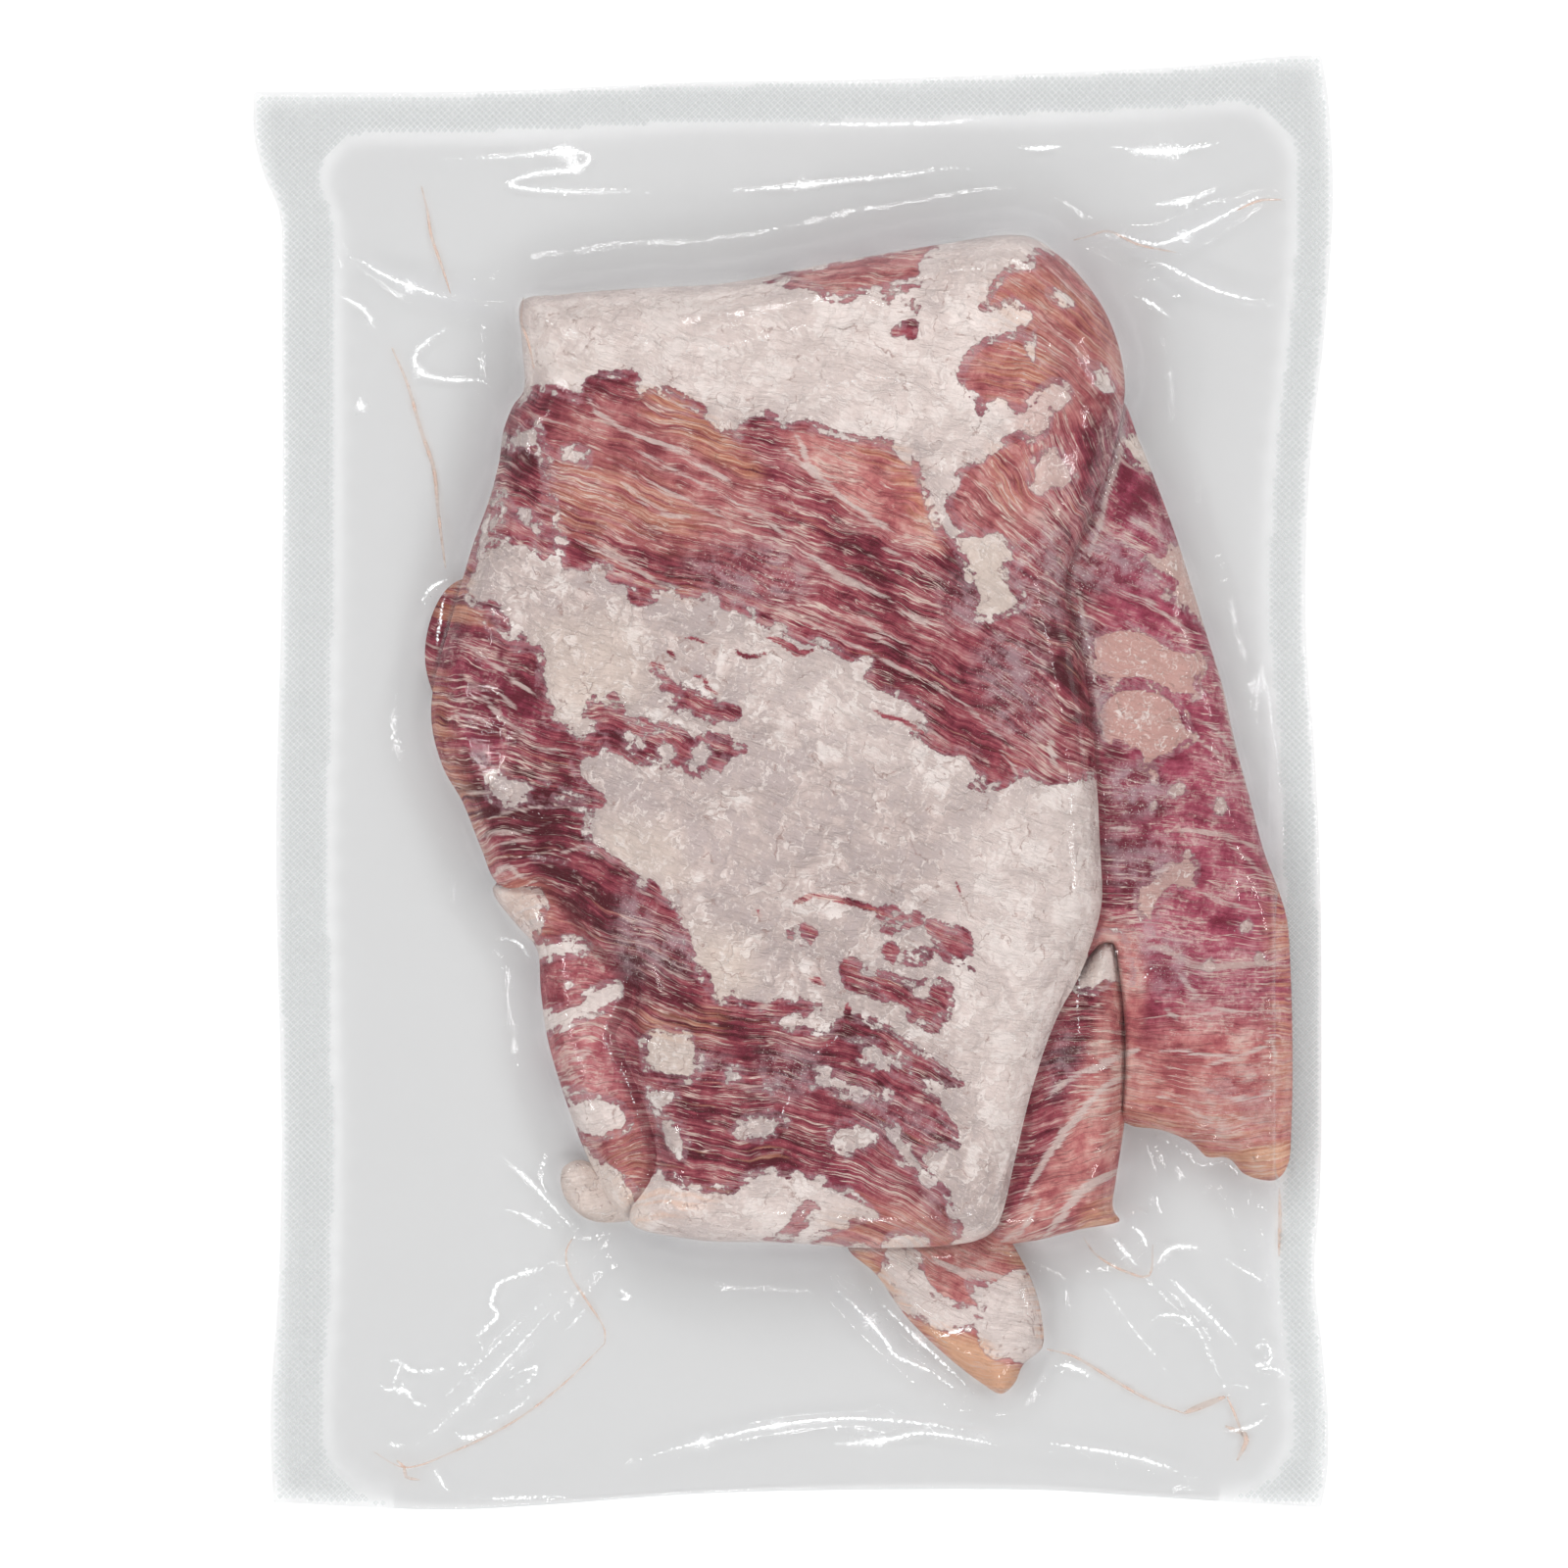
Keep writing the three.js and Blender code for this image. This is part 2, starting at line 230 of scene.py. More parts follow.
# ---- the plan: fields over the whole pack --------------------------------------------------------
class Plan:
    """A fine grid over the pack, seen from above, that holds heights and patterns."""

    pitch = 0.4

    def __init__(self):
        self.west, self.south = -116.0, -154.0
        columns = round(2 * -self.west / self.pitch) + 1
        rows = round(2 * -self.south / self.pitch) + 1
        self.x, self.y = np.meshgrid(
            self.west + self.pitch * np.arange(columns), self.south + self.pitch * np.arange(rows)
        )

    def field(self, value=0.0):
        """A field with one value all over."""
        return np.full(self.x.shape, float(value))

    def window(self, points, margin):
        """The part of the grid within a margin of some points."""
        low = (points.min(axis=0) - margin - (self.west, self.south)) / self.pitch
        high = (points.max(axis=0) + margin - (self.west, self.south)) / self.pitch + 2
        rows, columns = self.x.shape
        return (
            slice(int(np.clip(low[1], 0, rows)), int(np.clip(high[1], 0, rows))),
            slice(int(np.clip(low[0], 0, columns)), int(np.clip(high[0], 0, columns))),
        )

    def depth(self, outline, reach=16.0):
        """Distance from each grid point to a closed outline, positive inside, up to a reach."""
        rows, columns = self.x.shape
        nearest = np.full(self.x.shape, reach**2)
        crossings = np.zeros((rows, columns + 2))
        for (ax, ay), (bx, by) in zip(np.roll(outline, 1, axis=0), outline):
            w = self.window(np.array([(ax, ay), (bx, by)]), reach)
            x, y, dx, dy = self.x[w] - ax, self.y[w] - ay, bx - ax, by - ay
            t = np.clip((x * dx + y * dy) / (dx * dx + dy * dy + 1e-12), 0, 1)
            nearest[w] = np.minimum(nearest[w], (x - t * dx) ** 2 + (y - t * dy) ** 2)
            first, last = (math.ceil((end - self.south) / self.pitch) for end in sorted((ay, by)))
            row = np.arange(max(first, 0), min(last, rows))
            if len(row):
                cross = ax + (self.south + row * self.pitch - ay) * dx / dy
                column = np.ceil((cross - self.west) / self.pitch).astype(int)
                np.add.at(crossings, (row, np.clip(column, 0, columns)), 1)
        inside = np.cumsum(crossings[:, ::-1], axis=1)[:, ::-1][:, 1:-1] % 2 == 1
        return np.where(inside, 1, -1) * np.sqrt(nearest)

    def sample(self, field, x, y):
        """A field's values at any places, between its grid points."""
        rows, columns = field.shape[:2]
        fx = np.clip((x - self.west) / self.pitch, 0, columns - 1.001)
        fy = np.clip((y - self.south) / self.pitch, 0, rows - 1.001)
        c, r = fx.astype(int), fy.astype(int)
        u, v = fx - c, fy - r
        low = field[r, c] * (1 - u) + field[r, c + 1] * u
        high = field[r + 1, c] * (1 - u) + field[r + 1, c + 1] * u
        return low * (1 - v) + high * v


def blurred(field, radius, pitch=Plan.pitch):
    """A field softened over a radius in millimetres, by a Gaussian in the frequency domain."""
    rows, columns = field.shape
    pad = int(3 * radius / pitch) + 1
    wide = np.pad(field, pad, mode="edge")
    fy = np.fft.fftfreq(wide.shape[0])[:, None]
    fx = np.fft.rfftfreq(wide.shape[1])[None, :]
    keep = np.exp(-2 * (math.pi * radius / pitch) ** 2 * (fx * fx + fy * fy))
    return np.fft.irfft2(np.fft.rfft2(wide) * keep, s=wide.shape)[pad:pad + rows, pad:pad + columns]


def soft_noise(plan, size, seed):
    """Smooth random humps about as wide as size, from -1 to 1 or so."""
    rough = np.random.default_rng(seed).standard_normal(plan.x.shape)
    smooth = blurred(rough, size / 2)
    return smooth / smooth.std() * 0.5


# ---- heights -------------------------------------------------------------------------------------
def slab_top(slab, x):
    """The height of a slab's top, by its three heights across the pack."""
    left, middle, right = slab["heights"]
    t = np.clip(x / HEIGHTS_AT, -1, 1)
    return middle + 0.5 * (right - left) * t + (0.5 * (right + left) - middle) * t * t


def humps(x, y):
    """Low waves that keep a slab's top from being even."""
    return UNEVENNESS * (np.sin(x / 9 + y / 23) + np.sin(y / 11 - x / 31))


def slab_height(slab, depth, x, y):
    """The height of a slab's crowned top, by the depth inside its outline."""
    crown = 1 - CROWN * np.exp(-np.maximum(depth, 0) / CROWN_REACH)
    return slab_top(slab, x) * crown + humps(x, y)


def rounded(depth, radius):
    """A quarter circle's rise, from 0 at the edge to 1 a radius in."""
    return np.sqrt(1 - (1 - np.clip(depth / radius, 0, 1)) ** 2)


def film_over(slab, depth, x, y):
    """The film's height over a slab, and down the slope beside it."""
    top = slab_height(slab, depth, x, y)
    slope = top * SHOULDER_START * np.clip(1 + depth / slab["slope"], 0, 1) ** 2
    over = top * (SHOULDER_START + (1 - SHOULDER_START) * rounded(depth, slab["edge"]))
    return np.where(depth < 0, slope, over)


def bridged(high, other):
    """The higher of two surfaces, with the valley between them bridged as taut film does."""
    blend = np.clip(1 - np.abs(high - other) / (2 * BRIDGE), 0, 1)
    bridge = np.clip(np.minimum(high, other) / BRIDGE, 0, 1) * 0.5 * BRIDGE * blend**2
    return np.maximum(high, other) + bridge


# ---- the marbling, read off the photograph -------------------------------------------------------
# Painted in this order on lean meat: each item is fat or lean, and an outline in photo pixels.
FAT_AND_LEAN = [
    # the cap along the top and the band down from it
    ("fat", [(520, 290), (575, 290), (650, 284), (740, 278), (850, 256), (950, 240), (1052, 228),
        (1075, 255), (1062, 262), (1050, 272), (1055, 300), (1050, 400), (1066, 432), (1010, 465),
        (985, 490), (990, 545), (965, 556), (955, 540), (950, 520), (938, 492), (928, 472), (905, 455),
        (870, 449), (850, 443), (820, 437), (800, 436), (780, 424), (762, 430), (755, 450), (740, 441),
        (720, 425), (700, 411), (680, 402), (655, 398), (648, 388), (625, 384), (606, 392), (600, 410),
        (585, 408), (560, 398), (530, 400)]),
    ("lean", [(788, 289), (810, 280), (830, 274), (860, 266), (900, 258), (940, 249), (956, 245),
        (950, 262), (942, 272), (939, 290), (930, 293), (905, 296), (892, 300), (912, 302), (930, 307),
        (935, 318), (925, 312), (905, 310), (893, 305), (880, 300), (868, 306), (858, 310), (843, 306),
        (835, 298), (822, 293), (805, 292)]),
    ("lean", [(914, 341), (922, 334), (930, 336), (930, 344), (924, 339)]),
    ("lean", [(1002, 317), (1008, 305), (1016, 292), (1025, 281), (1040, 275), (1052, 272), (1050, 262),
        (1058, 258), (1070, 262), (1085, 268), (1104, 276), (1118, 295), (1138, 318), (1150, 355),
        (1158, 395), (1142, 402), (1125, 401), (1118, 386), (1100, 376), (1086, 368), (1075, 368),
        (1064, 358), (1075, 346), (1060, 340), (1046, 350), (1040, 340), (1048, 326), (1040, 318),
        (1030, 311), (1020, 316)]),
    ("lean", [(979, 394), (983, 376), (992, 362), (1005, 352), (1020, 348), (1035, 346), (1046, 352),
        (1052, 364), (1060, 374), (1072, 367), (1080, 376), (1073, 390), (1065, 400), (1060, 412),
        (1048, 414), (1040, 421), (1025, 415), (1012, 416), (1000, 423), (996, 409), (984, 405)]),
    ("lean", [(973, 495), (983, 480), (1000, 470), (1012, 461), (1030, 450), (1048, 445), (1058, 452),
        (1050, 461), (1066, 468), (1060, 476), (1045, 479), (1040, 490), (1049, 505), (1042, 525),
        (1047, 540), (1040, 553), (1030, 549), (1015, 539), (1004, 535), (988, 541), (974, 530),
        (967, 514)]),
    ("fat", [(1060, 400), (1078, 392), (1090, 402), (1078, 415), (1068, 426), (1066, 442), (1052, 452),
        (1042, 440)]),
    ("fat", [(1049, 486), (1054, 472), (1068, 463), (1080, 464), (1091, 478), (1095, 492), (1088, 503),
        (1075, 507), (1060, 504), (1050, 496)]),
    ("fat", [(972, 548), (990, 544), (1010, 545), (1021, 552), (1029, 560), (1026, 575), (1022, 590),
        (1031, 600), (1041, 608), (1039, 620), (1020, 629), (1000, 633), (989, 626), (993, 612), (990, 600),
        (985, 580), (976, 565)]),
    ("fat", [(1068, 300), (1078, 303), (1090, 313), (1080, 311)]),
    ("fat", [(1104, 372), (1118, 376), (1128, 386), (1136, 398), (1126, 398), (1114, 388)]),
    # left end of the diagonal muscle
    ("fat", [(508, 447), (530, 442), (547, 431), (552, 440), (554, 452), (561, 462), (572, 464), (586, 459),
        (600, 462), (601, 476), (590, 472), (576, 470), (568, 478), (563, 492), (567, 505), (567, 532),
        (560, 526), (556, 508), (557, 485), (554, 470), (544, 462), (530, 460), (514, 453)]),
    ("fat", [(503, 497), (515, 507), (523, 519), (536, 524), (552, 528), (566, 541), (577, 553), (560, 549),
        (545, 536), (530, 529), (519, 527), (512, 537), (507, 520)]),
    ("fat", [(522, 413), (532, 402), (552, 402), (536, 408), (527, 420)]),
    ("fat", [(484, 562), (492, 536), (500, 528), (503, 545), (514, 553), (500, 560), (492, 572)]),
    # the lumpy fat in the middle
    ("fat", [(478, 585), (488, 568), (500, 556), (520, 553), (537, 552), (546, 560), (555, 568), (563, 562),
        (576, 571), (586, 583), (600, 581), (609, 575), (622, 582), (626, 592), (640, 590), (646, 600),
        (650, 613), (668, 613), (672, 600), (690, 602), (715, 610), (740, 618), (756, 620), (770, 630),
        (790, 640), (806, 646), (818, 653), (832, 656), (850, 662), (870, 672), (886, 676), (888, 690),
        (900, 702), (920, 711), (940, 722), (951, 735), (948, 743), (935, 740), (930, 746), (945, 752),
        (955, 762), (966, 765), (986, 767), (996, 780), (1001, 795), (992, 803), (1010, 804), (1028, 797),
        (1040, 790), (1053, 790), (1066, 797), (1076, 795), (1100, 793), (1135, 797), (1140, 930),
        (1120, 985), (1094, 1040), (1067, 1115), (1050, 1190), (1036, 1245), (1010, 1274), (972, 1272),
        (977, 1250), (970, 1235), (964, 1215), (952, 1202), (942, 1190), (934, 1176), (950, 1170),
        (974, 1166), (972, 1150), (956, 1130), (946, 1110), (930, 1100), (915, 1084), (898, 1068),
        (868, 1060), (848, 1052), (825, 1050), (797, 1046), (782, 1031), (760, 1022), (748, 1012),
        (736, 1021), (727, 1012), (721, 1000), (712, 985), (704, 970), (701, 955), (692, 942), (700, 931),
        (688, 925), (674, 915), (666, 905), (655, 900), (640, 890), (628, 880), (615, 872), (603, 862),
        (600, 846), (603, 831), (606, 824), (614, 818), (602, 806), (590, 790), (587, 778), (594, 768),
        (606, 763), (625, 757), (600, 752), (590, 752), (580, 742), (563, 742), (557, 733), (561, 722),
        (552, 712), (551, 700), (553, 676), (551, 662), (540, 654), (533, 648), (520, 640), (508, 625),
        (500, 618), (488, 618), (480, 611), (475, 598)]),
    # islands of lean in it
    ("lean", [(602, 719), (608, 712), (618, 716), (626, 712), (631, 719), (640, 735), (655, 737),
        (663, 745), (673, 745), (685, 738), (695, 745), (701, 755), (712, 760), (718, 752), (729, 752),
        (740, 755), (753, 757), (757, 765), (746, 768), (736, 778), (733, 786), (720, 791), (705, 788),
        (700, 780), (690, 778), (680, 783), (665, 778), (650, 774), (640, 768), (625, 763), (610, 766),
        (596, 766), (588, 757), (604, 755), (622, 755), (642, 760), (655, 762), (640, 750), (620, 743),
        (603, 739), (598, 737)]),
    ("lean", [(687, 718), (692, 712), (700, 712), (711, 707), (726, 712), (739, 722), (752, 727),
        (738, 729), (728, 736), (718, 729), (705, 725), (695, 728)]),
    ("lean", [(668, 686), (676, 690), (683, 700), (691, 705), (693, 716), (685, 711), (677, 702),
        (670, 697)]),
    ("lean", [(805, 948), (815, 947), (829, 950), (821, 961), (812, 955)]),
    ("lean", [(901, 930), (918, 928), (939, 936), (921, 943), (904, 946)]),
    ("lean", [(862, 985), (872, 979), (881, 988), (900, 992), (920, 999), (936, 1003), (950, 1000),
        (966, 1005), (969, 1018), (966, 1036), (956, 1035), (953, 1046), (936, 1041), (924, 1031),
        (910, 1022), (900, 1014), (890, 1007), (872, 1005), (862, 998)]),
    ("lean", [(906, 967), (918, 972), (935, 970), (946, 967), (943, 979), (925, 981), (911, 978)]),
    ("lean", [(949, 941), (965, 946), (981, 952), (986, 970), (990, 987), (975, 981), (960, 970),
        (951, 957)]),
    ("lean", [(787, 1036), (793, 1025), (802, 1019), (816, 1018), (836, 1025), (821, 1033), (802, 1038),
        (809, 1046), (797, 1044)]),
    ("lean", [(848, 1047), (868, 1039), (890, 1042), (906, 1047), (926, 1062), (946, 1078), (966, 1095),
        (978, 1101), (958, 1104), (938, 1101), (920, 1090), (905, 1079), (901, 1066), (880, 1061),
        (860, 1057)]),
    # crumbs of fat in the lean below
    ("fat", [(879, 1062), (892, 1060), (903, 1068), (903, 1081), (890, 1086), (877, 1078)]),
    ("fat", [(904, 1076), (916, 1075), (926, 1086), (920, 1096), (909, 1090)]),
    ("fat", [(826, 1092), (845, 1091), (870, 1100), (892, 1107), (908, 1116), (890, 1121), (870, 1116),
        (850, 1113), (834, 1110), (825, 1101)]),
    ("fat", [(848, 1152), (862, 1143), (880, 1145), (894, 1155), (891, 1166), (880, 1173), (870, 1176),
        (857, 1171), (847, 1161)]),
    ("fat", [(737, 1097), (745, 1089), (760, 1095), (774, 1099), (781, 1092), (791, 1093), (791, 1105),
        (770, 1106), (750, 1103)]),
    ("fat", [(659, 1080), (657, 1062), (668, 1051), (685, 1049), (701, 1054), (713, 1062), (716, 1080),
        (712, 1096), (695, 1101), (675, 1099), (662, 1093)]),
    ("fat", [(660, 1110), (680, 1104), (691, 1119), (686, 1131), (664, 1129)]),
    ("fat", [(674, 1150), (695, 1147), (701, 1165), (696, 1179), (678, 1173)]),
    ("fat", [(750, 1150), (765, 1137), (785, 1134), (801, 1142), (790, 1156), (770, 1160)]),
    ("fat", [(898, 1138), (915, 1150), (926, 1165), (941, 1180), (952, 1202), (940, 1207), (929, 1192),
        (914, 1176), (901, 1160)]),
    # the rounded fat along the bottom
    ("fat", [(634, 1210), (655, 1198), (682, 1196), (702, 1208), (724, 1211), (742, 1210), (762, 1199),
        (790, 1193), (822, 1197), (852, 1208), (876, 1222), (892, 1238), (902, 1252), (906, 1284),
        (800, 1282), (700, 1278), (630, 1262)]),
    ("lean", [(768, 1272), (790, 1263), (805, 1252), (812, 1240), (822, 1227), (834, 1232), (822, 1246),
        (808, 1259), (795, 1270)]),
    ("lean", [(826, 1262), (850, 1253), (880, 1241), (900, 1234), (932, 1234), (962, 1247), (978, 1262),
        (950, 1284), (900, 1284), (878, 1270), (850, 1267)]),
    ("fat", [(906, 1262), (925, 1255), (945, 1265), (930, 1282), (904, 1282)]),
    # islands in the left end
    ("fat", [(499, 795), (510, 789), (530, 792), (546, 795), (557, 800), (551, 811), (540, 813), (530, 819),
        (515, 823), (504, 816), (499, 806)]),
    ("fat", [(546, 823), (565, 816), (572, 809), (586, 812), (602, 817), (627, 822), (602, 826), (580, 821),
        (564, 821)]),
    ("fat", [(499, 631), (515, 640), (531, 651), (547, 661), (535, 663), (519, 656), (504, 648)]),
]
# The fat of the slabs that lie under the upper one.
FAT_BELOW = [
    # left flap
    [(494, 902), (520, 899), (545, 905), (557, 925), (550, 946), (543, 968), (526, 956), (508, 935)],
    [(538, 966), (560, 960), (585, 957), (603, 964), (592, 973), (565, 977), (540, 984)],
    [(542, 1042), (565, 1030), (590, 1020), (614, 1004), (631, 1003), (634, 1018), (620, 1029), (600, 1036),
        (580, 1046), (545, 1056)],
    [(575, 1131), (590, 1121), (611, 1119), (636, 1127), (644, 1140), (640, 1151), (625, 1156), (605, 1162),
        (588, 1153)],
    [(577, 1113), (590, 1109), (598, 1116), (585, 1121)],
    [(560, 1180), (600, 1172), (622, 1192), (636, 1200), (650, 1215), (650, 1255), (560, 1255)],
    # right flap
    [(1096, 1008), (1102, 975), (1120, 952), (1141, 952), (1152, 985), (1153, 1002), (1136, 996),
        (1118, 1010)],
    # right slab
    [(1143, 450), (1160, 446), (1173, 456), (1181, 476), (1165, 480), (1150, 465)],
    [(1165, 574), (1185, 565), (1205, 552), (1214, 575), (1230, 612), (1236, 640), (1215, 631), (1205, 616),
        (1188, 609), (1195, 596), (1180, 586)],
    [(1112, 652), (1130, 642), (1150, 639), (1175, 647), (1195, 660), (1210, 662), (1223, 670), (1227, 683),
        (1219, 696), (1224, 709), (1205, 713), (1190, 705), (1170, 698), (1150, 697), (1135, 696),
        (1122, 688), (1112, 668)],
    [(1118, 722), (1132, 707), (1150, 700), (1170, 702), (1190, 709), (1203, 722), (1211, 740), (1217, 752),
        (1200, 765), (1185, 775), (1177, 781), (1177, 797), (1169, 782), (1162, 783), (1160, 771),
        (1145, 761), (1130, 753), (1118, 740)],
    [(1157, 906), (1170, 898), (1185, 889), (1200, 877), (1210, 871), (1220, 885), (1216, 900), (1196, 906),
        (1186, 916), (1178, 930), (1176, 950), (1166, 940), (1160, 925)],
    # tail
    [(909, 1276), (935, 1279), (941, 1304), (956, 1324), (979, 1336), (1000, 1340), (986, 1355),
        (961, 1352), (938, 1343), (915, 1326), (903, 1304)],
    [(988, 1305), (1013, 1312), (1036, 1298), (1056, 1307), (1061, 1330), (1057, 1353), (1062, 1371),
        (1054, 1388), (1036, 1382), (1016, 1379), (1003, 1368), (1000, 1353), (1009, 1336), (994, 1322)],
    [(900, 1300), (915, 1288), (930, 1294), (945, 1310), (960, 1325), (990, 1334), (1001, 1345),
        (985, 1349), (965, 1346), (945, 1346), (925, 1334), (908, 1319)],
    [(1004, 1330), (1020, 1320), (1035, 1310), (1046, 1299), (1057, 1318), (1060, 1340), (1064, 1365),
        (1056, 1382), (1042, 1387), (1030, 1379), (1015, 1382), (1004, 1371), (999, 1350)],
]

# Thin lines of fat or lean: kind, width in pixels at the widest, and the lines.
STREAKS = [
    ("fat", 3, [
        [(838, 620), (870, 640), (900, 655), (930, 672), (957, 686), (984, 702)],
        [(875, 630), (910, 652), (944, 670)],
        [(796, 622), (830, 640), (860, 655), (890, 668), (917, 682), (954, 698)],
        [(620, 470), (650, 487), (685, 505), (720, 520), (750, 538)],
        [(640, 455), (680, 478), (720, 498), (752, 515)],
        [(900, 560), (930, 577), (964, 596)],
        [(453, 733), (470, 730), (497, 735)],
        [(498, 836), (515, 830), (540, 825), (560, 821)],
        [(573, 871), (590, 865), (605, 860)],
        [(568, 1068), (585, 1072), (602, 1069)],
        [(573, 1086), (590, 1080), (602, 1074)],
        [(572, 1101), (597, 1097)],
        [(1170, 1075), (1200, 1070), (1232, 1078), (1262, 1070)],
        [(1180, 1118), (1204, 1126), (1236, 1146)],
    ]),
    ("fat", 4, [
        [(745, 512), (780, 532), (800, 547), (817, 559)],
        [(790, 452), (815, 472), (835, 492), (850, 505)],
        [(946, 698), (970, 712), (990, 725), (1005, 740), (1022, 754), (1036, 765)],
        [(460, 650), (480, 660), (500, 675), (520, 690), (540, 705), (555, 717)],
        [(543, 762), (560, 765), (583, 765)],
        [(484, 789), (504, 791)],
        [(472, 810), (502, 808)],
        [(482, 863), (500, 850), (530, 848), (563, 841)],
        [(498, 869), (520, 860), (547, 857)],
        [(1210, 730), (1240, 745), (1262, 775)],
        [(1205, 745), (1235, 765), (1268, 800)],
        [(1250, 860), (1275, 880), (1300, 905)],
        [(1215, 905), (1245, 920), (1285, 930)],
        [(1217, 1036), (1240, 1030), (1265, 1032), (1295, 1033)],
        [(1293, 1048), (1301, 1083)],
        [(1230, 1112), (1262, 1120), (1290, 1116), (1306, 1104)],
        [(1246, 1132), (1272, 1142), (1300, 1138)],
    ]),
    ("fat", 5, [
        [(896, 605), (925, 628), (945, 637), (965, 643)],
        [(1020, 768), (1030, 778), (1037, 792)],
        [(498, 698), (515, 712), (529, 722)],
        [(457, 716), (480, 713), (497, 715), (510, 730), (530, 745), (548, 753)],
        [(503, 902), (510, 888), (520, 884), (532, 894), (548, 900)],
        [(1020, 1268), (1040, 1250)],
        [(1096, 590), (1104, 630), (1112, 670), (1118, 710), (1122, 750)],
        [(1140, 604), (1175, 618), (1215, 650)],
        [(1198, 988), (1213, 1008), (1228, 1022)],
        [(1222, 1089), (1250, 1080), (1270, 1075), (1290, 1065), (1306, 1052)],
    ]),
    ("fat", 6, [
        [(1066, 1120), (1080, 1106), (1098, 1096), (1114, 1087)],
        [(700, 470), (720, 480), (736, 489), (750, 493)],
        [(573, 540), (600, 557), (625, 567), (640, 575), (656, 586), (676, 598), (704, 603)],
        [(636, 495), (655, 510), (672, 521), (690, 528), (704, 529)],
        [(806, 440), (818, 455), (822, 472), (835, 488), (853, 501)],
        [(842, 497), (870, 518), (895, 535), (914, 546)],
        [(1036, 1262), (1050, 1240), (1060, 1222)],
        [(1149, 529), (1170, 540), (1192, 558)],
        [(1178, 845), (1210, 848), (1240, 850), (1265, 858), (1290, 870)],
        [(1187, 1028), (1203, 1042)],
    ]),
    ("fat", 7, [
        [(600, 408), (612, 424), (626, 433), (642, 444)],
        [(638, 441), (660, 450), (680, 457), (702, 464)],
        [(1072, 752), (1070, 768), (1078, 784)],
        [(1138, 405), (1144, 440), (1138, 475), (1128, 505), (1120, 540), (1108, 572)],
        [(1133, 845), (1154, 844)],
    ]),
    ("fat", 8, [
        [(808, 558), (835, 575), (860, 592), (885, 602), (908, 614)],
        [(1160, 962), (1185, 968), (1205, 978), (1225, 985), (1250, 985), (1280, 982), (1312, 986)],
    ]),
    ("fat", 9, [
        [(1040, 1226), (1060, 1190), (1080, 1160), (1105, 1130), (1130, 1105), (1158, 1095)],
        [(1105, 1098), (1118, 1088), (1135, 1080), (1160, 1070)],
        [(948, 1284), (970, 1292), (992, 1306)],
        [(980, 1294), (1005, 1300), (1034, 1304)],
    ]),
    ("fat", 10, [
        [(1064, 1262), (1085, 1235), (1100, 1215), (1125, 1200), (1150, 1190)],
    ]),
    ("fat", 11, [
        [(1150, 412), (1172, 455), (1196, 520), (1222, 600), (1245, 680), (1262, 760), (1284, 840)],
    ]),
    ("lean", 3, [
        [(772, 926), (777, 936)],
        [(974, 898), (979, 914)],
    ]),
    ("lean", 4, [
        [(708, 689), (718, 693), (723, 701)],
        [(718, 700), (734, 709)],
        [(700, 652), (713, 654), (724, 657)],
    ]),
    ("lean", 5, [
        [(748, 662), (758, 670), (770, 671), (782, 667)],
        [(888, 724), (905, 732), (918, 735), (935, 745), (950, 753)],
        [(681, 664), (690, 673)],
        [(661, 679), (672, 679), (680, 684)],
        [(862, 1094), (880, 1102), (905, 1106)],
    ]),
    ("lean", 6, [
        [(808, 921), (825, 915), (833, 911)],
    ]),
    ("lean", 7, [
        [(826, 912), (850, 916), (880, 923), (905, 933)],
        [(826, 996), (842, 1004)],
    ]),
    ("lean", 8, [
        [(783, 652), (793, 654), (805, 661), (816, 668), (830, 664)],
        [(831, 1067), (848, 1064), (862, 1070), (884, 1078)],
        [(864, 1022), (864, 1042)],
    ]),
    ("lean", 9, [
        [(893, 1120), (905, 1130), (915, 1137)],
    ]),
]
# Round spots of fat: centre and radius in pixels.
FAT_SPOTS = [
    (682, 768, 10), (716, 768, 12), (708, 783, 6), (1200, 805, 9), (1245, 823, 9), (1283, 978, 7),
    (1232, 985, 8), (1268, 945, 6), (1176, 822, 6), (938, 1010, 8), (581, 1005, 4), (1008, 552, 8),
]

